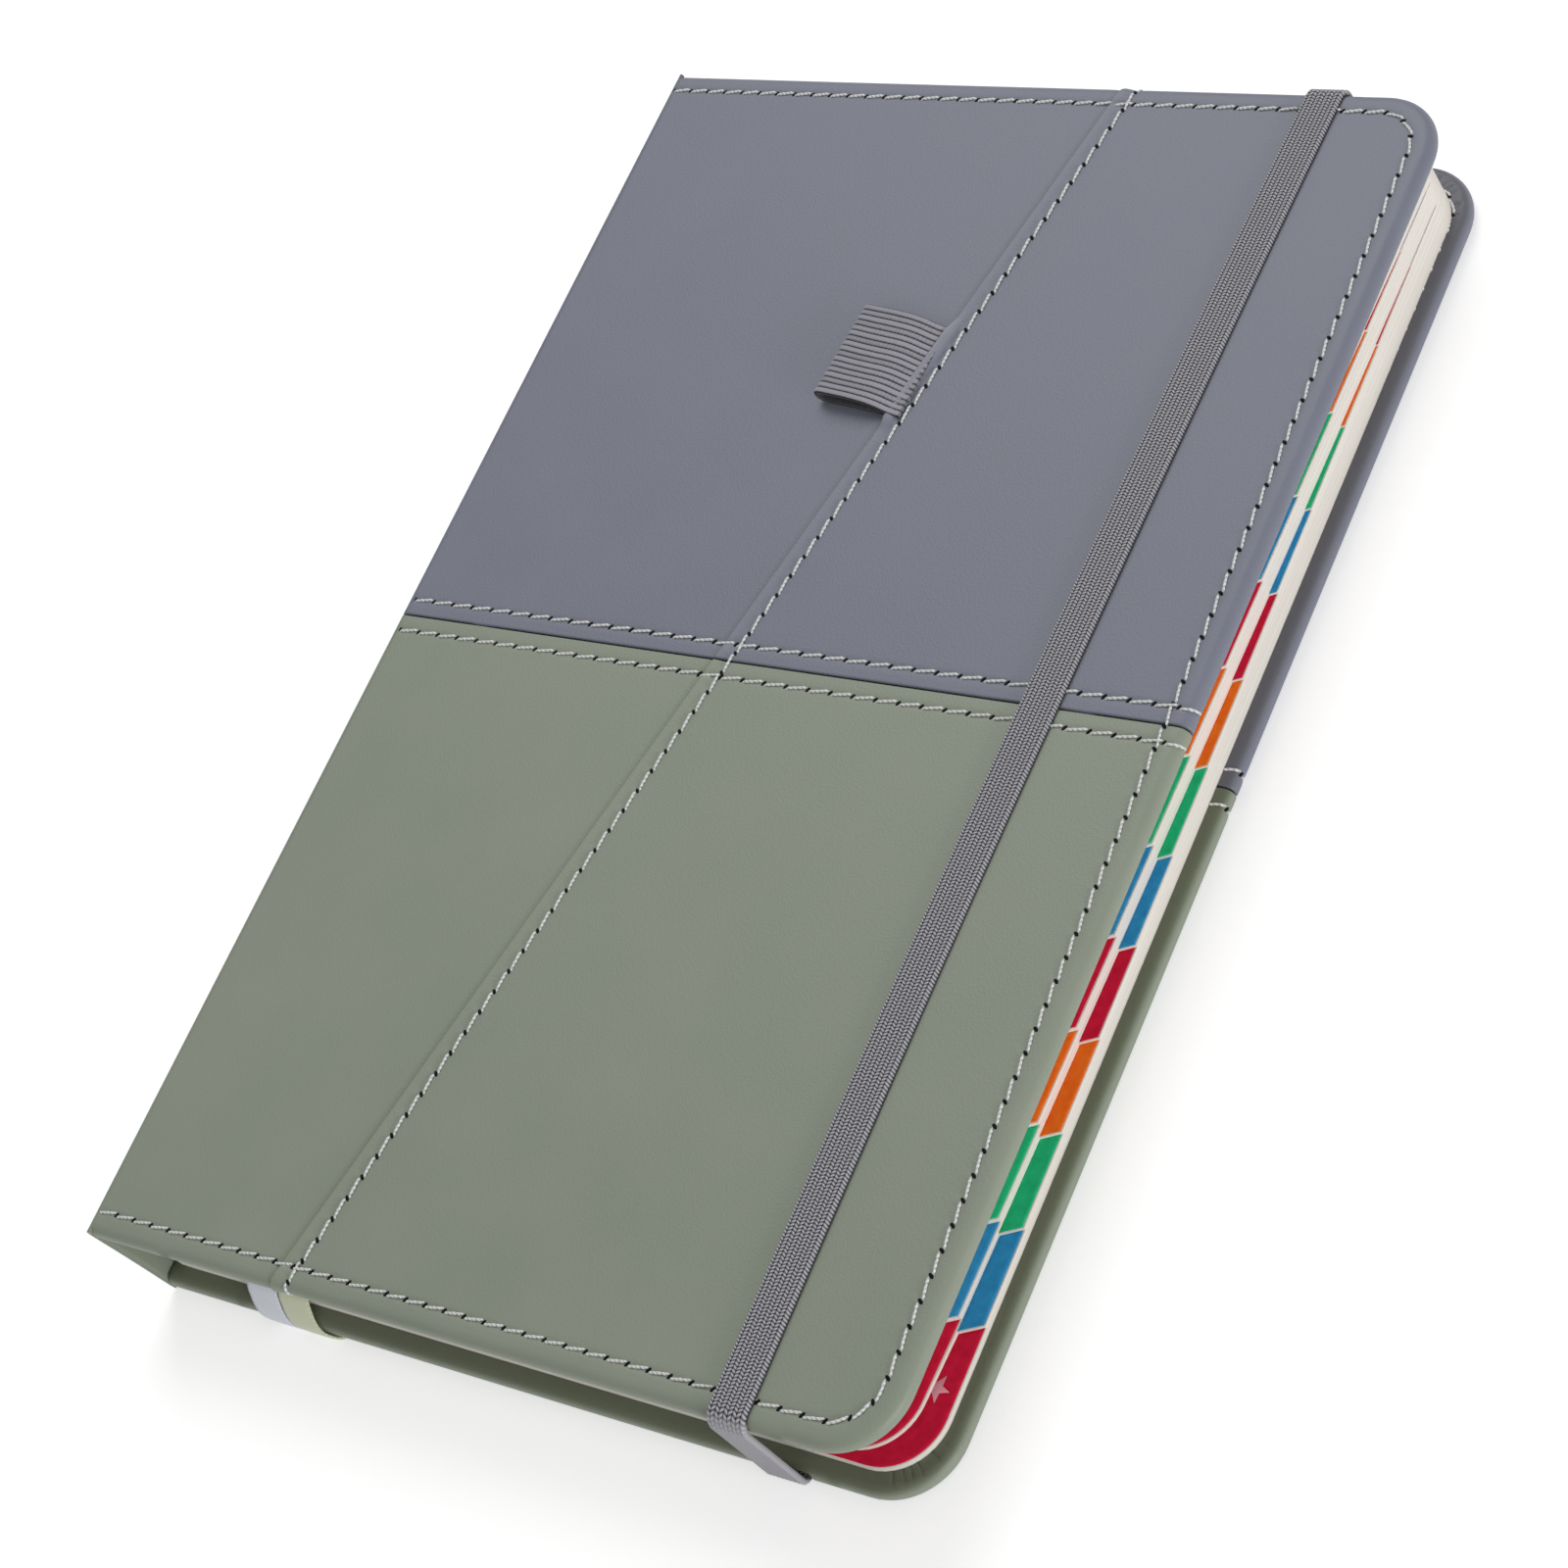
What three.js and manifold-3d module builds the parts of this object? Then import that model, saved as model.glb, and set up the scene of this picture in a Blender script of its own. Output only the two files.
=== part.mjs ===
// A closed hardcover address notebook: two padded covers in four leatherette
// panels each side of a diagonal lap, a page block with two stepped index
// sections, two ribbons, a pen loop and an elastic closing band.
// Millimetres. +X runs from the spine to the fore edge, +Y towards the head,
// +Z up. The origin is under the middle of the notebook, on its back face.

import * as THREE from 'three';
import { mergeVertices } from 'three/addons/utils/BufferGeometryUtils.js';
import Module from 'manifold-3d';

const wasm = await Module();
wasm.setup();

// Driving dimensions of the covers
const coverWidth = 143;
const coverHeight = 215;
const leatherWall = 0.8;
const boardThickness = 1.6;
const foreCornerRadius = 10.5;
const spineCornerRadius = 1.2;
const turnInWidth = 14;
const spineLean = 3;

// Driving dimensions of the page block and its endpapers
const blockThickness = 12.5;
const endpaperThickness = 0.25;
const pageMargin = 3;
const foreMargin = 2.4;
const blockSpineGap = 5.5;
const pageCornerRadius = 9;

// Spine strip
const spineBoardThickness = 1.4;

// Panel seams, on both covers: a level butt seam, and a diagonal on the front
const levelSeamY = 0.4;
const diagonalHeadInset = 55.9;
const diagonalTailInset = 105.4;
const seamGap = 0.4;

// Stepped index: depths of the cut and heights of the shelf, head to tail
const tabCount = 14;
const tabPitch = 14.1;
const firstTabInset = 8.5;
const cutBow = 1.2;
const shelfBow = 1.6;
const stepSlant = 0.5;
const cutRunOut = 4.5;
const lowerShelfHead = 5.2;
const lowerShelfTail = 0.5;
const lowerCutTail = 4.1;
const lowerCutEnd = 1.5;
const upperShelfHead = 8.8;
const upperShelfTail = 1;
const upperCutTail = 4.2;
const upperCutEnd = 2.8;

// Elastic closing band
const bandWidth = 6.2;
const bandForeInset = 23.5;
const bandSlant = 1.6;
const bandBow = 1.4;
const bandBackRun = 11;
const bandTopCorner = 1.7;
const bandBottomCorner = 1.1;
const bandSpans = 14;

// Pen loop
const loopWidth = 16.5;
const loopReach = 14.5;
const loopHeight = 3;
const loopTape = 0.8;
const loopHeadInset = 54.7;
const loopClosedReach = 3;
const loopSlopeReach = 4;
const loopStart = 1.3;
const loopLeanShare = 0.5;

// Ribbons
const ribbonWidth = 6;
const ribbonThickness = 0.35;
const ribbonSlotHeight = 1;
const ribbonSlotLift = 1.2;
const ribbonHeadInset = 4;
const blueRibbonInset = 23.6;
const ribbonSlant = 8;
const ribbonRuns = 8;

// The ribbons' way past the block's tail and round the back cover's edge: x
// from the ribbon's place at the tail, y from the cover's tail edge, z, and the
// tilt of its section in degrees
const ribbonTurn = [
  [0.0, 3.0, 5.15, 0],
  [0.5, 2.2, 4.85, 14],
  [1.0, 1.5, 4.3, 30],
  [1.6, 0.7, 3.7, 44],
  [2.3, 0.0, 3.0, 58],
  [3.0, -0.4, 2.35, 76],
  [3.8, -0.5, 1.75, 90],
  [4.5, -0.4, 1.1, 106],
  [5.1, -0.15, 0.6, 128],
  [5.6, 0.2, 0.3, 150],
];

// Fits
const clearance = 0.3;
const cornerSteps = 11;
const edgeSteps = 6;
const loopSteps = 8;
const beyond = 20;

// Surface roughness of the materials
const leatherRoughness = 0.5;
const ribbonRoughness = 0.7;
const dullRoughness = 0.9;

// Heights and places worked out from the sizes above
const coverThickness = boardThickness + 2 * leatherWall;
const edgeRadius = coverThickness / 2;
const backInnerZ = coverThickness;
const blockBottomZ = backInnerZ + endpaperThickness;
const blockTopZ = blockBottomZ + blockThickness;
const frontInnerZ = blockTopZ + endpaperThickness;
const frontOuterZ = frontInnerZ + coverThickness;
const foreX = coverWidth / 2;
const headY = coverHeight / 2;
const diagonalHeadX = foreX - diagonalHeadInset;
const diagonalTailX = foreX - diagonalTailInset;
const bandX = foreX - bandForeInset;
const loopCentreY = headY - loopHeadInset;
const firstTabY = headY - firstTabInset;
const frontSpineX = -foreX;
const backSpineX = frontSpineX + spineLean;
const blockForeX = foreX - foreMargin;
const blockSpineX = frontSpineX + blockSpineGap;
const blockHeadY = headY - pageMargin;
const ribbonSlotZ = blockBottomZ + ribbonSlotLift;
const blueRibbonX = frontSpineX + blueRibbonInset;
const greenRibbonX = blueRibbonX + ribbonWidth + clearance;
const blueRibbonHeadX = blueRibbonX - ribbonSlant;
const bandThickness = leatherWall;
const bandSideY = headY + clearance;

const colours = {
  grey: 0x7c7d88,
  green: 0x868b7b,
  board: 0x8d8478,
  paper: 0xe4dcd3,
  lining: 0xe0d9cf,
  elastic: 0x87858c,
  blueRibbon: 0xcdd5e4,
  greenRibbon: 0xc6cbb0,
};

function diagonalX(y) {
  const share = (headY - y) / coverHeight;
  return diagonalHeadX + (diagonalTailX - diagonalHeadX) * share;
}

function bandCentreX(y) {
  const share = y / headY;
  return bandX + bandSlant * share + bandBow * share * share;
}

// Booleans: a three.js geometry becomes a solid, and a solid a geometry again
function solidOf(geometry) {
  const bare = geometry.clone();
  bare.deleteAttribute('normal');
  bare.deleteAttribute('uv');
  const merged = mergeVertices(bare, 1e-4);
  const mesh = new wasm.Mesh({
    numProp: 3,
    vertProperties: new Float32Array(merged.attributes.position.array),
    triVerts: new Uint32Array(merged.index.array),
  });
  return new wasm.Manifold(mesh);
}

function geometryOf(solid) {
  const mesh = solid.getMesh();
  const geometry = new THREE.BufferGeometry();
  const positions = new Float32Array(mesh.vertProperties);
  const corners = new Uint32Array(mesh.triVerts);
  geometry.setAttribute('position', new THREE.BufferAttribute(positions, 3));
  geometry.setIndex(new THREE.BufferAttribute(corners, 1));
  geometry.computeVertexNormals();
  return geometry;
}

function indexed(points, faces) {
  const geometry = new THREE.BufferGeometry();
  geometry.setAttribute('position', new THREE.Float32BufferAttribute(points.flat(), 3));
  geometry.setIndex(faces.flat());
  geometry.computeVertexNormals();
  return geometry;
}

// An upright outline with its own corner radius at the spine and the fore edge
function outline(spineX, farX, farY, spineRadius, foreRadius) {
  const corners = [
    { x: farX - foreRadius, y: -farY + foreRadius, radius: foreRadius, start: -Math.PI / 2 },
    { x: farX - foreRadius, y: farY - foreRadius, radius: foreRadius, start: 0 },
    { x: spineX + spineRadius, y: farY - spineRadius, radius: spineRadius, start: Math.PI / 2 },
    { x: spineX + spineRadius, y: -farY + spineRadius, radius: spineRadius, start: Math.PI },
  ];
  const points = [];
  for (const corner of corners) {
    for (let step = 0; step <= cornerSteps; step += 1) {
      const angle = corner.start + (step / cornerSteps) * (Math.PI / 2);
      const x = corner.x + corner.radius * Math.cos(angle);
      const y = corner.y + corner.radius * Math.sin(angle);
      points.push(new THREE.Vector2(x, y));
    }
  }
  return points;
}

function coverOutline(spineX, inset) {
  const spineRadius = Math.max(spineCornerRadius - inset, clearance);
  const foreRadius = Math.max(foreCornerRadius - inset, clearance);
  return outline(spineX + inset, foreX - inset, headY - inset, spineRadius, foreRadius);
}

function prism(points, lowZ, highZ) {
  const shape = new THREE.Shape(points);
  const geometry = new THREE.ExtrudeGeometry(shape, { depth: highZ - lowZ, bevelEnabled: false });
  geometry.translate(0, 0, lowZ);
  return geometry;
}

function box(lowX, highX, lowY, highY, lowZ, highZ) {
  const geometry = new THREE.BoxGeometry(highX - lowX, highY - lowY, highZ - lowZ);
  geometry.translate((lowX + highX) / 2, (lowY + highY) / 2, (lowZ + highZ) / 2);
  return geometry;
}

// A slab whose border is a half round as high as the slab: rings of the same
// outline, each set in by radius * (1 - cos a) and lifted by radius * sin a
function roundedSlab(spineX, lowZ) {
  const points = [];
  const faces = [];
  const ringSize = coverOutline(spineX, 0).length;
  for (let ring = 0; ring <= edgeSteps; ring += 1) {
    const angle = -Math.PI / 2 + (ring / edgeSteps) * Math.PI;
    const inset = edgeRadius * (1 - Math.cos(angle));
    const z = lowZ + edgeRadius + edgeRadius * Math.sin(angle);
    for (const point of coverOutline(spineX, inset)) {
      points.push([point.x, point.y, z]);
    }
  }
  for (let ring = 0; ring < edgeSteps; ring += 1) {
    for (let i = 0; i < ringSize; i += 1) {
      const next = (i + 1) % ringSize;
      const low = ring * ringSize;
      const high = low + ringSize;
      faces.push([low + i, low + next, high + next], [low + i, high + next, high + i]);
    }
  }
  const top = edgeSteps * ringSize;
  for (let i = 1; i < ringSize - 1; i += 1) {
    faces.push([0, i + 1, i], [top, top + i, top + i + 1]);
  }
  return indexed(points, faces);
}

// A tape lofted through stations, each with four corners in the same order
function tape(stations) {
  const points = stations.flat();
  const faces = [];
  for (let i = 0; i < stations.length - 1; i += 1) {
    for (let k = 0; k < 4; k += 1) {
      const a = 4 * i + k;
      const b = 4 * i + ((k + 1) % 4);
      faces.push([a, b, b + 4], [a, b + 4, a + 4]);
    }
  }
  const last = 4 * (stations.length - 1);
  faces.push([0, 2, 1], [0, 3, 2], [last, last + 1, last + 2], [last, last + 2, last + 3]);
  return indexed(points, faces);
}

// Regions that divide the covers into panels
function besideSeam(greyHalf) {
  const farX = foreX + beyond;
  const farY = headY + beyond;
  const lowY = greyHalf ? levelSeamY + seamGap / 2 : -farY;
  const highY = greyHalf ? farY : levelSeamY - seamGap / 2;
  return solidOf(box(-farX, farX, lowY, highY, -beyond, frontOuterZ + beyond));
}

function besideDiagonal(side) {
  const farX = side * (foreX + beyond);
  const shift = (side * seamGap) / 2;
  const farY = headY + beyond;
  const corners = [
    new THREE.Vector2(diagonalX(-farY) + shift, -farY),
    new THREE.Vector2(farX, -farY),
    new THREE.Vector2(farX, farY),
    new THREE.Vector2(diagonalX(farY) + shift, farY),
  ];
  const ordered = side > 0 ? corners : corners.reverse();
  return solidOf(prism(ordered, -beyond, frontOuterZ + beyond));
}

// Leatherette skin of one cover: the rounded slab, less the board's space and
// the window that the turned-in border leaves on the inner face
function coverSkin(spineX, lowZ, innerUp) {
  const slab = solidOf(roundedSlab(spineX, lowZ));
  const boardLow = lowZ + leatherWall;
  const boardHigh = boardLow + boardThickness;
  const space = solidOf(prism(coverOutline(spineX, leatherWall), boardLow, boardHigh));
  const windowLow = innerUp ? boardHigh - clearance : lowZ - clearance;
  const windowHigh = innerUp ? lowZ + coverThickness + clearance : boardLow + clearance;
  const window = solidOf(prism(coverOutline(spineX, turnInWidth), windowLow, windowHigh));
  return slab.subtract(space).subtract(window);
}

function coverBoard(spineX, lowZ) {
  const boardLow = lowZ + leatherWall;
  return prism(coverOutline(spineX, leatherWall + clearance), boardLow, boardLow + boardThickness);
}

// Endpaper over the turned-in border, with the lining card that fills the
// border's window down to the board
function coverLining(spineX, sheetLow, cardLow, cardHigh) {
  const points = outline(blockSpineX, blockForeX, blockHeadY, spineCornerRadius, pageCornerRadius);
  const sheet = solidOf(prism(points, sheetLow, sheetLow + endpaperThickness));
  const card = solidOf(prism(coverOutline(spineX, turnInWidth + clearance), cardLow, cardHigh));
  return geometryOf(sheet.add(card));
}

function makeFrontPanel(greyHalf, side) {
  const skin = coverSkin(frontSpineX, frontInnerZ, false);
  return geometryOf(skin.intersect(besideSeam(greyHalf)).intersect(besideDiagonal(side)));
}

// The band's slot in the back cover: its run on the back face lies flush in
// the leatherette, and a notch in the edge lets it turn the corner
function bandSlot(end) {
  const innerY = headY - bandBackRun - clearance;
  const outerY = headY + 2 * clearance;
  const notchY = headY - leatherWall - clearance;
  const nearX = bandCentreX(end * innerY);
  const farX = bandCentreX(end * outerY);
  const lowX = Math.min(nearX, farX) - bandWidth / 2 - clearance;
  const highX = Math.max(nearX, farX) + bandWidth / 2 + clearance;
  const cut = (nearY, highZ) => {
    const lowY = end > 0 ? nearY : -outerY;
    const highY = end > 0 ? outerY : -nearY;
    return solidOf(box(lowX, highX, lowY, highY, -clearance, highZ));
  };
  const notchTop = leatherWall + bandBottomCorner + clearance;
  return cut(innerY, leatherWall).add(cut(notchY, notchTop));
}

function makeBackPanel(greyHalf) {
  const skin = coverSkin(backSpineX, 0, true);
  const slot = bandSlot(greyHalf ? 1 : -1);
  return geometryOf(skin.intersect(besideSeam(greyHalf)).subtract(slot));
}

// Spine strip, leaning as the covers' spine edges do
const spineLowZ = backInnerZ + clearance;
const spineHighZ = frontInnerZ - clearance;

function spineLayer(depth, thickness, lowY, highY) {
  const lowX = backSpineX + depth;
  const highX = frontSpineX + depth;
  const section = new THREE.Shape([
    new THREE.Vector2(lowX, spineLowZ),
    new THREE.Vector2(lowX + thickness, spineLowZ),
    new THREE.Vector2(highX + thickness, spineHighZ),
    new THREE.Vector2(highX, spineHighZ),
  ]);
  const geometry = new THREE.ExtrudeGeometry(section, { depth: highY - lowY, bevelEnabled: false });
  geometry.rotateX(Math.PI / 2);
  geometry.translate(0, highY, 0);
  return geometry;
}

// The cut's line round the tail corner: an arc of the pages' corner radius that
// is still some way in at its end, and then runs out at the block's tail
function cutCorner(cutX, cutEnd) {
  const centreX = cutX - pageCornerRadius;
  const centreY = pageCornerRadius + cutEnd - blockHeadY;
  const points = [];
  for (let step = 0; step <= cornerSteps; step += 1) {
    const angle = -(step / cornerSteps) * (Math.PI / 2);
    const x = centreX + pageCornerRadius * Math.cos(angle);
    const y = centreY + pageCornerRadius * Math.sin(angle);
    points.push(new THREE.Vector2(x, y));
  }
  points.push(new THREE.Vector2(centreX - cutRunOut * (1 + pageMargin / cutEnd), -headY));
  return points;
}

// Stepped index: in each tab's length the pages over the shelf are cut back,
// a little deeper and on a lower page than in the tab before it. Each cut runs
// on a little way into the next one, which takes more away.
function stepCut(tab, section) {
  const headSide = tab === 0 ? headY : firstTabY - tab * tabPitch;
  const tailSide = tab === tabCount - 1 ? -headY : firstTabY - (tab + 1) * tabPitch;
  const gone = ((tab + 0.5) / tabCount) ** shelfBow;
  const shelfZ = blockBottomZ + section.shelfHead + (section.shelfTail - section.shelfHead) * gone;
  const cutAt = (y) => {
    const share = Math.max(blockHeadY - y, 0) / (2 * blockHeadY);
    return section.cutHeadX + (section.cutTailX - section.cutHeadX) * share ** cutBow;
  };
  const farX = foreX + beyond;
  const headLift = stepSlant * (farX - cutAt(headSide));
  const tailLift = tab < tabCount - 1 ? stepSlant * (farX - cutAt(tailSide)) - clearance : 0;
  const points = [
    new THREE.Vector2(farX, tailSide + tailLift),
    new THREE.Vector2(farX, headSide + headLift),
    new THREE.Vector2(cutAt(headSide), headSide),
  ];
  if (tab < tabCount - 1) {
    points.push(new THREE.Vector2(cutAt(tailSide), tailSide));
    points.push(new THREE.Vector2(cutAt(tailSide), tailSide - clearance));
  } else {
    points.push(...cutCorner(section.cutTailX, section.cutEnd));
  }
  return solidOf(prism(points, shelfZ, frontOuterZ));
}

function makePageBlock() {
  const points = outline(blockSpineX, blockForeX, blockHeadY, clearance, pageCornerRadius);
  let block = solidOf(prism(points, blockBottomZ, blockTopZ));
  const lowerSection = {
    shelfHead: lowerShelfHead,
    shelfTail: lowerShelfTail,
    cutHeadX: blockForeX,
    cutTailX: blockForeX - lowerCutTail,
    cutEnd: lowerCutEnd,
  };
  const upperSection = {
    shelfHead: upperShelfHead,
    shelfTail: upperShelfTail,
    cutHeadX: blockForeX,
    cutTailX: lowerSection.cutTailX - upperCutTail,
    cutEnd: upperCutEnd,
  };
  for (let tab = 0; tab < tabCount; tab += 1) {
    block = block.subtract(stepCut(tab, lowerSection));
    block = block.subtract(stepCut(tab, upperSection));
  }
  const slotLow = blueRibbonHeadX - ribbonWidth / 2 - clearance;
  const slotHigh = greenRibbonX + ribbonWidth / 2 + clearance;
  const slotHeadY = blockHeadY - ribbonHeadInset + clearance;
  const slot = box(slotLow, slotHigh, -headY, slotHeadY, ribbonSlotZ, ribbonSlotZ + ribbonSlotHeight);
  return geometryOf(block.subtract(solidOf(slot)));
}

// Ribbons: glued side by side at the head of the spine, down through the
// pages, out at the tail, and over the back cover's edge
function ribbonRoute(tailX) {
  const slotMiddle = ribbonSlotZ + ribbonSlotHeight / 2;
  const startY = blockHeadY - ribbonHeadInset;
  const route = [];
  for (let run = 0; run < ribbonRuns; run += 1) {
    const share = run / ribbonRuns;
    const x = tailX - ribbonSlant * (1 - share);
    const y = startY - (startY + blockHeadY) * share;
    route.push([x, y, slotMiddle, 0]);
  }
  for (const [x, y, z, tilt] of ribbonTurn) {
    route.push([tailX + x, y - headY, z, tilt]);
  }
  return route;
}

function makeRibbon(tailX) {
  const stations = [];
  for (const [x, y, z, tilt] of ribbonRoute(tailX)) {
    const angle = THREE.MathUtils.degToRad(tilt);
    const up = [-Math.sin(angle) * (ribbonThickness / 2), Math.cos(angle) * (ribbonThickness / 2)];
    const half = ribbonWidth / 2;
    stations.push([
      [x - half, y - up[0], z - up[1]],
      [x + half, y - up[0], z - up[1]],
      [x + half, y + up[0], z + up[1]],
      [x - half, y + up[0], z + up[1]],
    ]);
  }
  return tape(stations);
}

// Elastic closing band: one tape from its slot in the back cover's head,
// round both edges and over the front cover, to the slot at the tail
function bandPath() {
  const path = [];
  const arc = (y, z, radius, from, to, end) => {
    for (let step = 0; step <= edgeSteps; step += 1) {
      const angle = THREE.MathUtils.degToRad(from + ((to - from) * step) / edgeSteps);
      const outY = Math.cos(angle);
      const outZ = Math.sin(angle);
      path.push([end * (y + radius * outY), z + radius * outZ, end * outY, outZ]);
    }
  };
  const lowY = bandSideY - bandBottomCorner;
  const lowZ = leatherWall + bandBottomCorner;
  const highY = bandSideY - bandTopCorner;
  const highZ = frontOuterZ - bandTopCorner;
  path.push([headY - bandBackRun, leatherWall, 0, -1]);
  arc(lowY, lowZ, bandBottomCorner, -90, 0, 1);
  arc(highY, highZ, bandTopCorner, 0, 90, 1);
  for (let span = 1; span < bandSpans; span += 1) {
    path.push([highY - (2 * highY * span) / bandSpans, frontOuterZ, 0, 1]);
  }
  arc(highY, highZ, bandTopCorner, 90, 0, -1);
  arc(lowY, lowZ, bandBottomCorner, 0, -90, -1);
  path.push([-headY + bandBackRun, leatherWall, 0, -1]);
  return path;
}

function makeBand() {
  const stations = [];
  for (const [y, z, outY, outZ] of bandPath()) {
    const lowX = bandCentreX(y) - bandWidth / 2;
    const highX = lowX + bandWidth;
    const outerY = y + outY * bandThickness;
    const outerZ = z + outZ * bandThickness;
    stations.push([
      [lowX, y, z],
      [highX, y, z],
      [highX, outerY, outerZ],
      [lowX, outerY, outerZ],
    ]);
  }
  return tape(stations);
}

// Pen loop: a flattened ring of tape on the left panel, its closed end at the
// diagonal lap and its fold turned a little from the lap's direction. In its
// own frame x leads away from the lap and y is up.
function makePenLoop() {
  const radius = loopHeight / 2;
  const foldX = loopReach - radius;
  const ring = new THREE.Shape();
  ring.moveTo(loopStart, 0);
  ring.lineTo(foldX, 0);
  ring.absarc(foldX, radius, radius, -Math.PI / 2, Math.PI / 2, false);
  ring.lineTo(loopSlopeReach, loopHeight);
  ring.lineTo(loopStart, 2 * loopTape);
  ring.closePath();
  const hollow = new THREE.Path();
  hollow.moveTo(loopClosedReach, loopTape);
  hollow.lineTo(foldX, loopTape);
  hollow.absarc(foldX, radius, radius - loopTape, -Math.PI / 2, Math.PI / 2, false);
  hollow.lineTo(loopSlopeReach + clearance, loopHeight - loopTape);
  hollow.closePath();
  ring.holes.push(hollow);
  const options = { depth: loopWidth, bevelEnabled: false, curveSegments: loopSteps };
  const geometry = new THREE.ExtrudeGeometry(ring, options);
  geometry.translate(0, 0, -loopWidth / 2);
  const lapLean = Math.atan2(diagonalHeadX - diagonalTailX, coverHeight);
  const lean = loopLeanShare * lapLean;
  const away = new THREE.Vector3(-Math.cos(lean), Math.sin(lean), 0);
  const up = new THREE.Vector3(0, 0, 1);
  const along = new THREE.Vector3(Math.sin(lean), Math.cos(lean), 0);
  const place = new THREE.Matrix4().makeBasis(away, up, along);
  place.setPosition(diagonalX(loopCentreY), loopCentreY, frontOuterZ);
  geometry.applyMatrix4(place);
  return geometry;
}

const notebook = new THREE.Group();

function addPiece(name, geometry, colour, roughness) {
  const material = new THREE.MeshStandardMaterial({ color: colour, roughness, metalness: 0 });
  const mesh = new THREE.Mesh(geometry, material);
  mesh.name = name;
  notebook.add(mesh);
}

// Front cover
const frontCardHigh = frontInnerZ + leatherWall;
const frontLining = coverLining(frontSpineX, blockTopZ, blockTopZ, frontCardHigh);
addPiece('front_board', coverBoard(frontSpineX, frontInnerZ), colours.board, dullRoughness);
addPiece('front_panel_grey_left', makeFrontPanel(true, -1), colours.grey, leatherRoughness);
addPiece('front_panel_grey_right', makeFrontPanel(true, 1), colours.grey, leatherRoughness);
addPiece('front_panel_green_left', makeFrontPanel(false, -1), colours.green, leatherRoughness);
addPiece('front_panel_green_right', makeFrontPanel(false, 1), colours.green, leatherRoughness);
addPiece('front_lining', frontLining, colours.lining, dullRoughness);
addPiece('pen_loop', makePenLoop(), colours.elastic, dullRoughness);

// Back cover
const backCardLow = backInnerZ - leatherWall;
const backLining = coverLining(backSpineX, backInnerZ, backCardLow, blockBottomZ);
addPiece('back_board', coverBoard(backSpineX, 0), colours.board, dullRoughness);
addPiece('back_panel_grey', makeBackPanel(true), colours.grey, leatherRoughness);
addPiece('back_panel_green', makeBackPanel(false), colours.green, leatherRoughness);
addPiece('back_lining', backLining, colours.lining, dullRoughness);
addPiece('elastic_band', makeBand(), colours.elastic, dullRoughness);

// Page block, spine and ribbons
const boardEndY = headY - leatherWall - clearance;
const seamHalf = seamGap / 2;
const spineBoard = spineLayer(leatherWall, spineBoardThickness, -boardEndY, boardEndY);
const spineGrey = spineLayer(0, leatherWall, levelSeamY + seamHalf, headY);
const spineGreen = spineLayer(0, leatherWall, -headY, levelSeamY - seamHalf);
addPiece('page_block', makePageBlock(), colours.paper, dullRoughness);
addPiece('spine_board', spineBoard, colours.board, dullRoughness);
addPiece('spine_panel_grey', spineGrey, colours.grey, leatherRoughness);
addPiece('spine_panel_green', spineGreen, colours.green, leatherRoughness);
addPiece('ribbon_blue', makeRibbon(blueRibbonX), colours.blueRibbon, ribbonRoughness);
addPiece('ribbon_green', makeRibbon(greenRibbonX), colours.greenRibbon, ribbonRoughness);

export default notebook;
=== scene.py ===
"""A closed address notebook: sewn leatherette covers, an index page block,
two ribbons, a pen loop and an elastic closing band, dressed on its frame."""

import bpy
import numpy as np
from mathutils import Matrix, Vector


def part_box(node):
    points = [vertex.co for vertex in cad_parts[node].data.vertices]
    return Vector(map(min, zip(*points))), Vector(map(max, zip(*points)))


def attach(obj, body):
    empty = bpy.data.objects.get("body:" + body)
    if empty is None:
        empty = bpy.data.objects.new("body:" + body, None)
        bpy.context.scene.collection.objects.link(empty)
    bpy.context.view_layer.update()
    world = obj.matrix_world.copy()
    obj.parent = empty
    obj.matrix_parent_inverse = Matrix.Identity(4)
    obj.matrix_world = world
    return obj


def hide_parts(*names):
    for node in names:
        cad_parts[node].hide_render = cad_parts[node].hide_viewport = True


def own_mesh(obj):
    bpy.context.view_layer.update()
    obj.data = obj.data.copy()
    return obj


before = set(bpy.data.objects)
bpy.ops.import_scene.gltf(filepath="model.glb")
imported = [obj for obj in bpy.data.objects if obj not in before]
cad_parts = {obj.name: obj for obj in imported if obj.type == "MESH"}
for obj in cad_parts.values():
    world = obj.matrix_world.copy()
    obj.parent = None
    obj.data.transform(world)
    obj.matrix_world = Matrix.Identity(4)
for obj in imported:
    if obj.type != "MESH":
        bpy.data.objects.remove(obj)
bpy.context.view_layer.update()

# Lengths below are in millimetres, and a mesh gets them in metres
MM = 0.001


def corners(node):
    """Lowest and highest corner of a node of the frame, in millimetres."""
    low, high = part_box(node)
    return np.array(low) / MM, np.array(high) / MM


# Camera, fitted to the covers' edges in the photograph
CAMERA_PLACE = (0.32174, -0.19724, 0.40486)
CAMERA_AHEAD = (-0.58779, 0.34154, -0.73338)
CAMERA_UP = (-0.13372, 0.85303, 0.50444)
CAMERA_LENS = 85.35
SENSOR = 36.0

# Covers, from the frame
FRONT_LOW, FRONT_HIGH = corners("front_panel_grey_left")
BACK_LOW, BACK_HIGH = corners("back_panel_grey")
FORE_X = corners("front_panel_grey_right")[1][0]
HEAD_Y = FRONT_HIGH[1]
COVER_THICK = FRONT_HIGH[2] - FRONT_LOW[2]
EDGE_RADIUS = COVER_THICK / 2
FORE_CORNER = 10.5
SPINE_CORNER = 1.2
LEATHER = 0.75
BORDER = 16.0
TURN_IN = 14.0

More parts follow.
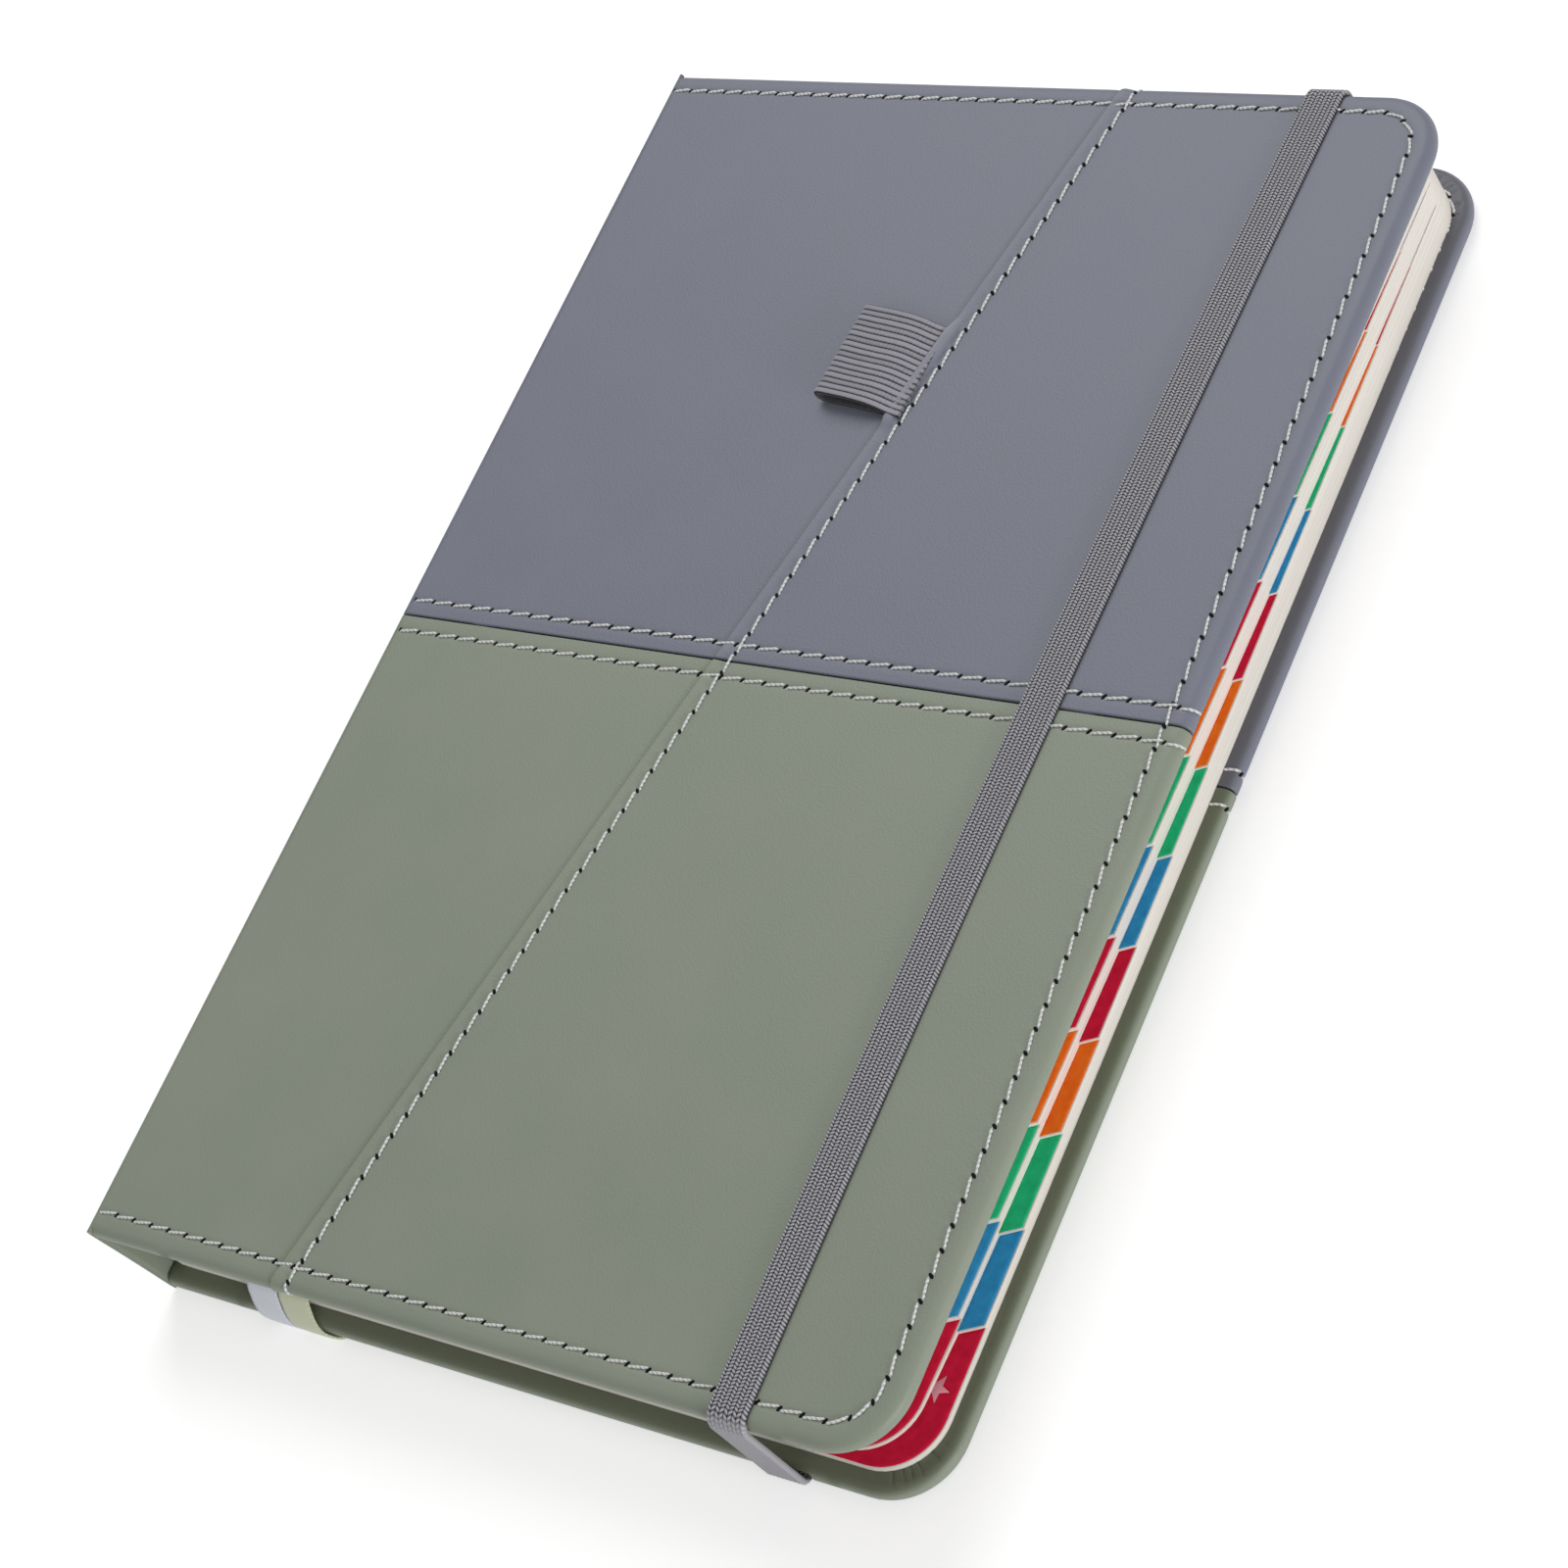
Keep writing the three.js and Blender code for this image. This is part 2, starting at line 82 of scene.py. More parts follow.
# Seams and stitches
SEAM_Y = 0.4
SEAM_GAP = 0.26
LAP_HEAD_X = 15.6
LAP_TAIL_X = -33.9
LAP_TILT = np.arctan2(LAP_HEAD_X - LAP_TAIL_X, 2 * HEAD_Y)
STITCH_INSET = 3.5
INNER_INSET = 3.9
INNER_SWAY = 1.3
STITCH_PITCH = 3.55
SEAM_STITCH = 2.8
GROOVE_DEPTH = 0.08
GROOVE_WIDTH = 0.5
ROLL_WIDTH = 0.28
LAP_RISE = 0.24
LAP_SLOPE = 2.3
LAP_STITCH = 2.9
LOOP_BULGE = 0.7
PUCKER = 0.035
UNEVEN = 0.035
PLEAT_DEPTH = 0.2
SEAM_PITCH = 3.9
SEAM_INWARD = 6.0
STITCH_LENGTH = 3.5
THREAD_STATIONS = 11
THREAD_SIDES = 6
THREAD_WIDE = 0.25
THREAD_THICK = 0.19
THREAD_TWIST = 4.5
THREAD_SLANT = 0.17
HOLE_SIDES = 8
HOLE_LONG = 0.6
HOLE_WIDE = 0.28
HOLE_SLANT = 1.0
DOWN_SINK = 0.36

# Closing band
BAND_WIDTH = 6.2
BAND_THICK = 0.8
BAND_X = 48.0
BAND_SLANT = 1.6
BAND_BOW = 1.4
BAND_BACK_RUN = 11.0
BAND_TOP_CORNER = 1.7
BAND_BOTTOM_CORNER = 1.1
BAND_RIDGES = 9
BAND_STEP = 0.4
BAND_SIDE_GAP = 0.3
KNIT_PITCH = 0.52

# Spine wall
SPINE_PROUD = 0.06
SPINE_WALL = 0.7
SPINE_SAG = 0.25
SPINE_ROWS = 120

# Pen loop
LOOP_WIDTH = 16.5
LOOP_REACH = 14.5
LOOP_HEIGHT = 3.0
LOOP_TAPE = 0.8
LOOP_Y = 52.8
LOOP_RIBS = 17
LOOP_STEP = 0.3
LOOP_INNER = 0.62
LOOP_LEAN_SHARE = 0.5

# Ribbons: their places at the block's tail, and their way round the cover
RIBBON_WIDTH = 6.0
RIBBON_THICK = 0.35
BLUE_RIBBON_X = -47.9
GREEN_RIBBON_X = -41.6
RIBBON_SLANT = 8.0
RIBBON_HEAD_Y = 100.5
RIBBON_Z = 5.15
RIBBON_RUNS = 8
RIBBON_STEP = 0.22
RIBBON_RIB = 0.66
RIBBON_COLUMNS = 13
RIBBON_TURN = [
    (0.0, -104.5, 5.15),
    (0.5, -105.3, 4.85),
    (1.0, -106.0, 4.3),
    (1.6, -106.8, 3.7),
    (2.3, -107.5, 3.0),
    (3.0, -107.9, 2.35),
    (3.8, -108.0, 1.75),
    (4.5, -107.9, 1.1),
    (5.1, -107.65, 0.6),
    (5.6, -107.3, 0.3),
]

# How often a resampled route is averaged
SMOOTH_PASSES = 6

# Index tabs
TAB_COUNT = 14
TAB_PITCH = 14.1
FIRST_TAB_Y = 99.0
LOWER_SHELF = (5.2, 0.5)
UPPER_SHELF = (8.8, 1.0)
LOWER_CUT = 4.1
UPPER_CUT = 4.2
LOWER_CUT_END = 1.5
UPPER_CUT_END = 2.8
CUT_BOW = 1.2
SHELF_BOW = 1.6
STEP_SLANT = 0.5
CUT_RUN_OUT = 4.5
PAGE_CORNER = 9.0
STRIP_STATIONS = 20
STRIP_BORDER = 0.22
STRIP_GAP = 0.22
STAR_PLACE = (65.6, -92.0)
STAR_SIZE = 2.1
STAR_WAIST = 0.42
STAR_TURN = 1.2
TAB_COLOURS = ("lavender", "crimson", "orange", "green", "blue")

# Floor in metres, and how bright the floor and the studio are
FLOOR_REACH = 1.2
FLOOR_GLOW = 0.5
STUDIO_LEVEL = 0.42


def shade(code):
    """A colour written as in a picture, turned into the renderer's linear light."""
    parts = [int(code[i:i + 2], 16) / 255 for i in (1, 3, 5)]
    linear = [p / 12.92 if p <= 0.04045 else ((p + 0.055) / 1.055) ** 2.4 for p in parts]
    return (*linear, 1.0)


def smooth_step(low, high, value):
    """Rises from 0 at low to 1 at high as a cubic with level ends."""
    t = np.clip((value - low) / (high - low), 0, 1)
    return t * t * (3 - 2 * t)


def lap_x(y):
    """The lap's line: straight from its head end to its tail end."""
    return LAP_HEAD_X + (LAP_TAIL_X - LAP_HEAD_X) * (HEAD_Y - y) / (2 * HEAD_Y)


def band_x(y):
    """The band's centre: a slant and a slight bow along the cover."""
    share = y / HEAD_Y
    return BAND_X + BAND_SLANT * share + BAND_BOW * share ** 2


def unit(vectors):
    return vectors / np.maximum(np.linalg.norm(vectors, axis=-1, keepdims=True), 1e-9)


def lengths_along(points):
    """How far along its line each point lies."""
    steps = np.linalg.norm(np.diff(points, axis=0), axis=1)
    return np.concatenate([[0], np.cumsum(steps)])


# Camera
def make_camera():
    data = bpy.data.cameras.new("camera")
    data.lens = CAMERA_LENS
    data.sensor_width = SENSOR
    data.clip_start = 0.01
    camera = bpy.data.objects.new("camera", data)
    bpy.context.scene.collection.objects.link(camera)
    ahead = Vector(CAMERA_AHEAD).normalized()
    right = ahead.cross(Vector(CAMERA_UP)).normalized()
    up = right.cross(ahead)
    turn = Matrix((right, up, -ahead)).transposed()
    camera.matrix_world = Matrix.Translation(CAMERA_PLACE) @ turn.to_4x4()
    bpy.context.scene.camera = camera


# Meshes
def make_object(name, points, quads, attributes=None, uv=None):
    """A mesh of quads from whole arrays, its points given in millimetres."""
    mesh = bpy.data.meshes.new(name)
    points = np.asarray(points, float).reshape(-1, 3) * MM
    quads = np.asarray(quads, np.int32).reshape(-1, 4)
    mesh.vertices.add(len(points))
    mesh.vertices.foreach_set("co", points.astype(np.float32).ravel())
    mesh.loops.add(quads.size)
    mesh.loops.foreach_set("vertex_index", quads.ravel())
    mesh.polygons.add(len(quads))
    mesh.polygons.foreach_set("loop_start", np.arange(0, quads.size, 4, dtype=np.int32))
    mesh.polygons.foreach_set("use_smooth", np.ones(len(quads), bool))
    mesh.update(calc_edges=True)
    for key, values in (attributes or {}).items():
        layer = mesh.attributes.new(key, "FLOAT", "POINT")
        layer.data.foreach_set("value", np.asarray(values, np.float32).ravel())
    if uv is not None:
        layer = mesh.uv_layers.new(name="along")
        layer.data.foreach_set("uv", np.asarray(uv, np.float32)[quads.ravel()].ravel())
    mesh.validate()
    piece = bpy.data.objects.new(name, mesh)
    bpy.context.scene.collection.objects.link(piece)
    return piece


def finish_piece(piece, body, material, replaced=()):
    """Gives a piece its finish, its body and the nodes that it stands for."""
    piece.data.materials.append(material)
    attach(piece, body)
    if replaced:
        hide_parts(*replaced)


def sheet_quads(rows, columns, start=0):
    """Quads of a grid of points stored row by row."""
    index = start + np.arange(rows * columns).reshape(rows, columns)
    quads = [index[:-1, :-1], index[:-1, 1:], index[1:, 1:], index[1:, :-1]]
    return np.stack(quads, -1).reshape(-1, 4)


def shell(outer, inner, flip=False):
    """A closed shell: an outer and an inner grid, joined along all four edges."""
    rows, columns = outer.shape[:2]
    size = rows * columns
    top = np.arange(size).reshape(rows, columns)
    low = top + size
    faces = [sheet_quads(rows, columns), sheet_quads(rows, columns, size)[:, ::-1]]
    edges = [
        (top[0, ::-1], low[0, ::-1]),
        (top[:, -1][::-1], low[:, -1][::-1]),
        (top[-1], low[-1]),
        (top[:, 0], low[:, 0]),
    ]
    for a, b in edges:
        faces.append(np.stack([a[:-1], a[1:], b[1:], b[:-1]], -1))
    quads = np.concatenate(faces)
    if flip:
        quads = quads[:, ::-1]
    points = np.concatenate([outer.reshape(-1, 3), inner.reshape(-1, 3)])
    return points, quads


def tape(rings):
    """A closed tape: each ring runs along its underside and back over its top."""
    stations, count = rings.shape[:2]
    index = np.arange(stations * count).reshape(stations, count)
    after = np.roll(index, -1, axis=1)
    sides = [index[:-1], after[:-1], after[1:], index[1:]]
    quads = np.stack(sides, -1).reshape(-1, 4)
    k = np.arange(count // 2 - 1)
    cap = np.stack([k, k + 1, count - 2 - k, count - 1 - k], -1)
    first = cap[:, ::-1]
    last = cap + (stations - 1) * count
    return rings.reshape(-1, 3), np.concatenate([quads, first, last])


def resample(route, step):
    """Points at even steps along a route, its bends eased by averaging neighbours."""
    route = np.asarray(route, float)
    gone = lengths_along(route)
    count = int(round(gone[-1] / step)) + 1
    where = np.linspace(0, gone[-1], count)
    line = np.stack([np.interp(where, gone, route[:, i]) for i in range(3)], -1)
    for _ in range(SMOOTH_PASSES):
        line[1:-1] = 0.25 * line[:-2] + 0.5 * line[1:-1] + 0.25 * line[2:]
    return line, where


# Materials
def node(tree, kind, **values):
    """Adds a node, sets its plain properties and the sockets named with _."""
    made = tree.nodes.new(kind)
    for key, value in values.items():
        if key.startswith("in_"):
            made.inputs[key[3:].replace("_", " ")].default_value = value
        else:
            setattr(made, key, value)
    return made


def maths(tree, operation, *values):
    """A math node on sockets or plain numbers; gives its result's socket."""
    made = tree.nodes.new("ShaderNodeMath")
    made.operation = operation
    for socket, value in zip(made.inputs, values):
        if isinstance(value, (int, float)):
            socket.default_value = value
        else:
            tree.links.new(value, socket)
    return made.outputs[0]


def make_grain_group():
    """Leather grain: small rounded cells over a softer unevenness."""
    group = bpy.data.node_groups.new("leather_grain", "ShaderNodeTree")
    face = group.interface
    face.new_socket("Vector", in_out="INPUT", socket_type="NodeSocketVector")
    face.new_socket("Cells", in_out="INPUT", socket_type="NodeSocketFloat")
    face.new_socket("Height", in_out="OUTPUT", socket_type="NodeSocketFloat")
    face.new_socket("Mottle", in_out="OUTPUT", socket_type="NodeSocketFloat")
    entry = group.nodes.new("NodeGroupInput")
    result = group.nodes.new("NodeGroupOutput")
    link = group.links.new
    cells = node(group, "ShaderNodeTexVoronoi", feature="SMOOTH_F1", in_Smoothness=0.6)
    fine = node(group, "ShaderNodeTexNoise", in_Scale=5200.0, in_Detail=2.0)
    broad = node(group, "ShaderNodeTexNoise", in_Scale=55.0, in_Detail=4.0)
    height = maths(group, "MULTIPLY_ADD", fine.outputs["Fac"], 0.5, cells.outputs["Distance"])
    link(entry.outputs["Vector"], cells.inputs["Vector"])
    link(entry.outputs["Cells"], cells.inputs["Scale"])
    link(entry.outputs["Vector"], fine.inputs["Vector"])
    link(entry.outputs["Vector"], broad.inputs["Vector"])
    link(height, result.inputs["Height"])
    link(broad.outputs["Fac"], result.inputs["Mottle"])
    return group


def ramp(tree, low, high, low_colour, high_colour):
    """A colour ramp of two colours between two places."""
    made = tree.nodes.new("ShaderNodeValToRGB")
    made.color_ramp.elements[0].position = low
    made.color_ramp.elements[1].position = high
    made.color_ramp.elements[0].color = shade(low_colour)
    made.color_ramp.elements[1].color = shade(high_colour)
    return made


def tint(tree, shader, value, low, high, dark, light):
    """Colours a material by a value, from dark at low to light at high."""
    colour = ramp(tree, low, high, dark, light)
    tree.links.new(value, colour.inputs["Fac"])
    tree.links.new(colour.outputs["Color"], shader.inputs["Base Color"])


def object_noise(tree, scale, detail):
    """A noise that reads the piece's own coordinates; gives its value's socket."""
    place = node(tree, "ShaderNodeTexCoord")
    made = node(tree, "ShaderNodeTexNoise", in_Scale=scale, in_Detail=detail)
    tree.links.new(place.outputs["Object"], made.inputs["Vector"])
    return made.outputs["Fac"]


def new_material(name, roughness, specular):
    material = bpy.data.materials.new(name)
    material.use_nodes = True
    tree = material.node_tree
    shader = tree.nodes["Principled BSDF"]
    shader.inputs["Roughness"].default_value = roughness
    shader.inputs["Specular IOR Level"].default_value = specular
    return material, tree, shader


def add_bump(tree, shader, height, strength, distance):
    bump = node(tree, "ShaderNodeBump", in_Strength=strength, in_Distance=distance)
    tree.links.new(height, bump.inputs["Height"])
    tree.links.new(bump.outputs["Normal"], shader.inputs["Normal"])


def make_leatherette(name, dark, body, light, deep, group):
    """Satin leatherette: mottled colour, painted highlights on rolled edges, painted shade in
    grooves, and painted shade on the faces turned in to the pages."""
    material, tree, shader = new_material(name, 0.46, 0.42)
    link = tree.links.new
    place = node(tree, "ShaderNodeTexCoord")
    grain = node(tree, "ShaderNodeGroup", node_tree=group)
    grain.inputs["Cells"].default_value = 2600.0
    link(place.outputs["Object"], grain.inputs["Vector"])
    # attribute of painted light and shade: painted shade in grooves, folds and under sides, painted
    # highlights on edges and seams
    painted_shading = node(tree, "ShaderNodeAttribute", attribute_name="painted_shading")
    base = ramp(tree, 0.3, 0.7, body[0], body[1])
    link(grain.outputs["Mottle"], base.inputs["Fac"])
    # dark is the painted shade's colour, light the painted highlight's colour
    edge = ramp(tree, 0.0, 1.0, dark, light)
    link(painted_shading.outputs["Fac"], edge.inputs["Fac"])
    amount = maths(tree, "ABSOLUTE", maths(tree, "SUBTRACT", painted_shading.outputs["Fac"], 0.5))
    mix = node(tree, "ShaderNodeMix", data_type="RGBA")
    link(amount, mix.inputs[0])
    link(edge.outputs["Color"], mix.inputs[7])
    # painted shade on the faces turned in to the pages, in the deep colour
    turned = node(tree, "ShaderNodeAttribute", attribute_name="turned")
    shaded_base = node(tree, "ShaderNodeMix", data_type="RGBA")
    shaded_base.inputs[7].default_value = shade(deep)
    link(turned.outputs["Fac"], shaded_base.inputs[0])
    link(base.outputs["Color"], shaded_base.inputs[6])
    link(shaded_base.outputs[2], mix.inputs[6])
    link(mix.outputs[2], shader.inputs["Base Color"])
    gloss = node(tree, "ShaderNodeMapRange", in_To_Min=0.4, in_To_Max=0.54)
    link(grain.outputs["Mottle"], gloss.inputs["Value"])
    link(gloss.outputs[0], shader.inputs["Roughness"])
    add_bump(tree, shader, grain.outputs["Height"], 0.22, 0.00012)
    return material


def make_textile(name, dark, light, roughness, sheen, grain_scale, full=0.8):
    """Yarn: painted shade between its threads and painted highlight on them, from the weave's height."""
    material, tree, shader = new_material(name, roughness, 0.25)
    shader.inputs["Sheen Weight"].default_value = sheen
    weave_shade = node(tree, "ShaderNodeAttribute", attribute_name="weave_shade")
    fuzz = object_noise(tree, grain_scale, 3.0)
    vary = node(tree, "ShaderNodeMapRange", in_To_Min=-0.16, in_To_Max=0.16)
    tree.links.new(fuzz, vary.inputs["Value"])
    total = maths(tree, "ADD", weave_shade.outputs["Fac"], vary.outputs[0])
    tint(tree, shader, total, 0.12, full, dark, light)
    add_bump(tree, shader, fuzz, 0.35, 0.00008)
    return material


def make_knit(name, dark, light):
    """Knitted elastic from its UV, where u counts loops and v counts columns. A
    column is a rounded ridge cut by slanting loops, its slant turning from one
    column to the next. The plain attribute hides the knit where only the tape's
    edge yarns show."""
    material, tree, shader = new_material(name, 0.78, 0.25)
    shader.inputs["Sheen Weight"].default_value = 0.15
    place = node(tree, "ShaderNodeUVMap", uv_map="along")
    parts = tree.nodes.new("ShaderNodeSeparateXYZ")
    tree.links.new(place.outputs["UV"], parts.inputs["Vector"])
    loops, columns = parts.outputs["X"], parts.outputs["Y"]
    inside = maths(tree, "MULTIPLY_ADD", maths(tree, "FRACT", columns), 2.0, -1.0)
    side = maths(tree, "PINGPONG", maths(tree, "FLOOR", columns), 1.0)
    lean = maths(tree, "MULTIPLY_ADD", side, 0.7, -0.35)
    phase = maths(tree, "MULTIPLY_ADD", inside, lean, loops)
    wave = maths(tree, "COSINE", maths(tree, "MULTIPLY", phase, 2 * np.pi))
    notch = maths(tree, "MULTIPLY_ADD", wave, 0.36, 0.64)
    square = maths(tree, "MULTIPLY", inside, inside)
    ridge = maths(tree, "SQRT", maths(tree, "SUBTRACT", 1.0, square))
    knit = maths(tree, "MULTIPLY", ridge, notch)
    plain = node(tree, "ShaderNodeAttribute", attribute_name="plain")
    hidden = maths(tree, "SUBTRACT", 0.72, knit)
    total = maths(tree, "MULTIPLY_ADD", hidden, plain.outputs["Fac"], knit)
    # painted shade in the notches between loops and between columns, lighter on the ridges' crowns
    tint(tree, shader, total, 0.2, 0.8, dark, light)
    add_bump(tree, shader, total, 0.5, 0.0002)
    return material


def make_paper(name, dark, light, leaf_pitch, strength):
    """Paper seen at its cut edge: thin level leaf lines with a slight waver."""
    material, tree, shader = new_material(name, 0.8, 0.25)
    link = tree.links.new
    place = node(tree, "ShaderNodeTexCoord")
    stretch = node(tree, "ShaderNodeMapping")
    stretch.inputs["Scale"].default_value = (12.0, 12.0, 1.0 / (leaf_pitch * MM))
    link(place.outputs["Object"], stretch.inputs["Vector"])
    leaves = node(tree, "ShaderNodeTexNoise", in_Scale=1.0, in_Detail=3.0)
    link(stretch.outputs["Vector"], leaves.inputs["Vector"])
    tint(tree, shader, leaves.outputs["Fac"], 0.3, 0.62, dark, light)
    add_bump(tree, shader, leaves.outputs["Fac"], strength, 0.0001)
    return material


def make_print(name, dark, light):
    """A plain matt colour, a little uneven, with a paper's tooth: index prints,
    endpaper, board, and the painted shade inside a needle hole."""
    material, tree, shader = new_material(name, 0.75, 0.12)
    tooth = object_noise(tree, 700.0, 4.0)
    tint(tree, shader, tooth, 0.3, 0.7, dark, light)
    add_bump(tree, shader, tooth, 0.15, 0.0001)
    return material


# Covers
class Cover:
    """One cover's places: where its spine edge is, its middle height and its outer side."""

    def __init__(self, spine_x, middle_z, facing):
        self.spine_x = spine_x
        self.middle_z = middle_z
        self.facing = facing


FRONT = Cover(FRONT_LOW[0], (FRONT_LOW[2] + FRONT_HIGH[2]) / 2, 1)
BACK = Cover(BACK_LOW[0], (BACK_LOW[2] + BACK_HIGH[2]) / 2, -1)


def border_profile():
    """The border's section from the flat outwards: level, half round, then back
    inwards on the inner face. Gives inset, height, and the normal's two parts."""
    level = np.concatenate([np.arange(BORDER, 6, -1.6), np.arange(5.8, EDGE_RADIUS, -0.2)])
    turn = np.linspace(0, np.pi, 15)
    under = np.concatenate([np.arange(1.9, 5.4, 0.3), np.arange(5.6, TURN_IN, 1.4), [TURN_IN]])
    inset = np.concatenate([level, EDGE_RADIUS * (1 - np.sin(turn)), under])
    up = np.concatenate([np.ones(len(level)), np.cos(turn), -np.ones(len(under))])
    out = np.concatenate([np.zeros(len(level)), np.sin(turn), np.zeros(len(under))])
    gone = np.hypot(np.diff(inset), np.diff(EDGE_RADIUS * up))
    return inset, out, up, np.concatenate([[0], np.cumsum(gone)])


def away_from_seam(length, far_step):
    """Distances from a seam's edge, close together over the roll and the stitches."""
    near = np.array([0, 0.05, 0.11, 0.18, 0.27, 0.38, 0.5, 0.8, 1.2, 1.6])
    sewn = np.arange(1.9, 3.9, 0.2)
    far = np.linspace(4.4, length, int(round(length / far_step)))
    return np.concatenate([near, sewn, far])


def corner_place(inset, radius, share):
    """A place on a rounded corner's ring: straight, arc, straight, by its length."""
    bend = np.maximum(radius - inset, 0)
    run = np.maximum(BORDER - inset - bend, 0)
    arc = bend * np.pi / 2
    gone = share * (2 * run + arc)
    angle = np.clip((gone - run) / np.maximum(bend, 1e-6), 0, np.pi / 2)
    angle = np.where(bend < 1e-5, np.where(share < 0.5, 0, np.pi / 2), angle)
    along = run + bend * np.cos(angle) - np.maximum(gone - run - arc, 0)
    across = run + bend * np.sin(angle) - np.maximum(run - gone, 0)
    along = np.where(gone <= run, BORDER - inset, along)
    across = np.where(gone >= run + arc, BORDER - inset, across)
    return along, across, np.cos(angle), np.sin(angle)


def panel_surface(cover, half, side):
    """A panel's grid. Rows run along Y and columns along X: each is either in the
    middle of the cover or one ring of the border's profile. In a corner the ring
    further out wins, and a point's share of the ring comes from the other one."""
    inset, out, up, gone = border_profile()
    rings = np.arange(len(inset))
    none = np.zeros(0, int)
    limit_y = HEAD_Y - BORDER
    seam_rows = SEAM_Y + half * (SEAM_GAP / 2 + away_from_seam(limit_y - SEAM_Y - 2, 1.5))
    row_ring = np.concatenate([np.zeros(len(seam_rows), int), rings])
    row_y = np.concatenate([seam_rows, np.full(len(rings), half * limit_y)])
    row_band = np.concatenate([np.zeros(len(seam_rows), bool), np.ones(len(rings), bool)])
    if half < 0:
        row_ring, row_y, row_band = row_ring[::-1], row_y[::-1], row_band[::-1]

    ring_inset = np.where(up[row_ring] == 1, inset[row_ring], 0)
    ring_y = np.where(row_band, half * (HEAD_Y - ring_inset), row_y)
    near_x = cover.spine_x + BORDER
    far_x = FORE_X - BORDER
    if side == 0:
        shares = np.linspace(0, 1, 60)
        middle_x = near_x + (far_x - near_x) * shares[None, :] + 0 * ring_y[:, None]
        left, right = rings[::-1], rings
    else:
        offsets = away_from_seam(20.0, 1.6) / np.cos(LAP_TILT)
        shares = np.clip((offsets - offsets[20]) / (offsets[-1] - offsets[20]), 0, 1)
        start = lap_x(ring_y)[:, None] + side * 0.02
        base = start + side * np.minimum(offsets, offsets[20])[None, :]
        goal = far_x if side > 0 else near_x
        middle_x = base + (goal - base) * shares[None, :]
        if side < 0:
            middle_x = middle_x[:, ::-1]
        left, right = (none, rings) if side > 0 else (rings[::-1], none)
    middle = middle_x.shape[1]
    column_ring = np.concatenate([left, np.zeros(middle, int), right])
    column_side = np.concatenate([-np.ones(len(left)), np.zeros(middle), np.ones(len(right))])
    pad = [(0, 0), (len(left), len(right))]
    middle_x = np.pad(middle_x, pad, mode="edge")

    rr, cr = np.meshgrid(row_ring, column_ring, indexing="ij")
    rb, cs = np.meshgrid(row_band, column_side, indexing="ij")
    cb = cs != 0
    ring = np.where(rb & cb, np.maximum(rr, cr), np.where(cb, cr, np.where(rb, rr, 0)))
    a, b = gone[cr], gone[rr]
    share = np.where(a >= b, 0.5 * b / np.maximum(a, 1e-6), 1 - 0.5 * a / np.maximum(b, 1e-6))
    radius = np.where(cs < 0, SPINE_CORNER, FORE_CORNER)
    along, across, cos_a, sin_a = corner_place(inset[ring], radius, share)
    corner_x = np.where(cs < 0, near_x, far_x)
    reach = BORDER - inset[ring]
    x = np.where(cb, corner_x + cs * np.where(rb, along, reach), middle_x)
    y = np.where(rb, half * (limit_y + np.where(cb, across, reach)), row_y[:, None])
    nx = cs * np.where(rb, cos_a, 1.0)
    ny = half * rb * np.where(cb, sin_a, 1.0)
    return x, y, nx * out[ring], ny * out[ring], up[ring], inset[ring]


def pucker(along, off):
    """Leather drawn in between two needle holes."""
    wave = 0.5 + 0.5 * np.cos(2 * np.pi * along / STITCH_PITCH)
    return PUCKER * wave * np.exp(-(off / 0.9) ** 2)


def groove(off):
    return GROOVE_DEPTH * np.exp(-(off / GROOVE_WIDTH) ** 2)


def roll(off):
    """A rolled edge: a quarter circle down over the last part of a width."""
    short = np.clip((ROLL_WIDTH - off) / ROLL_WIDTH, 0, 1)
    return ROLL_WIDTH * (1 - np.sqrt(1 - short ** 2))


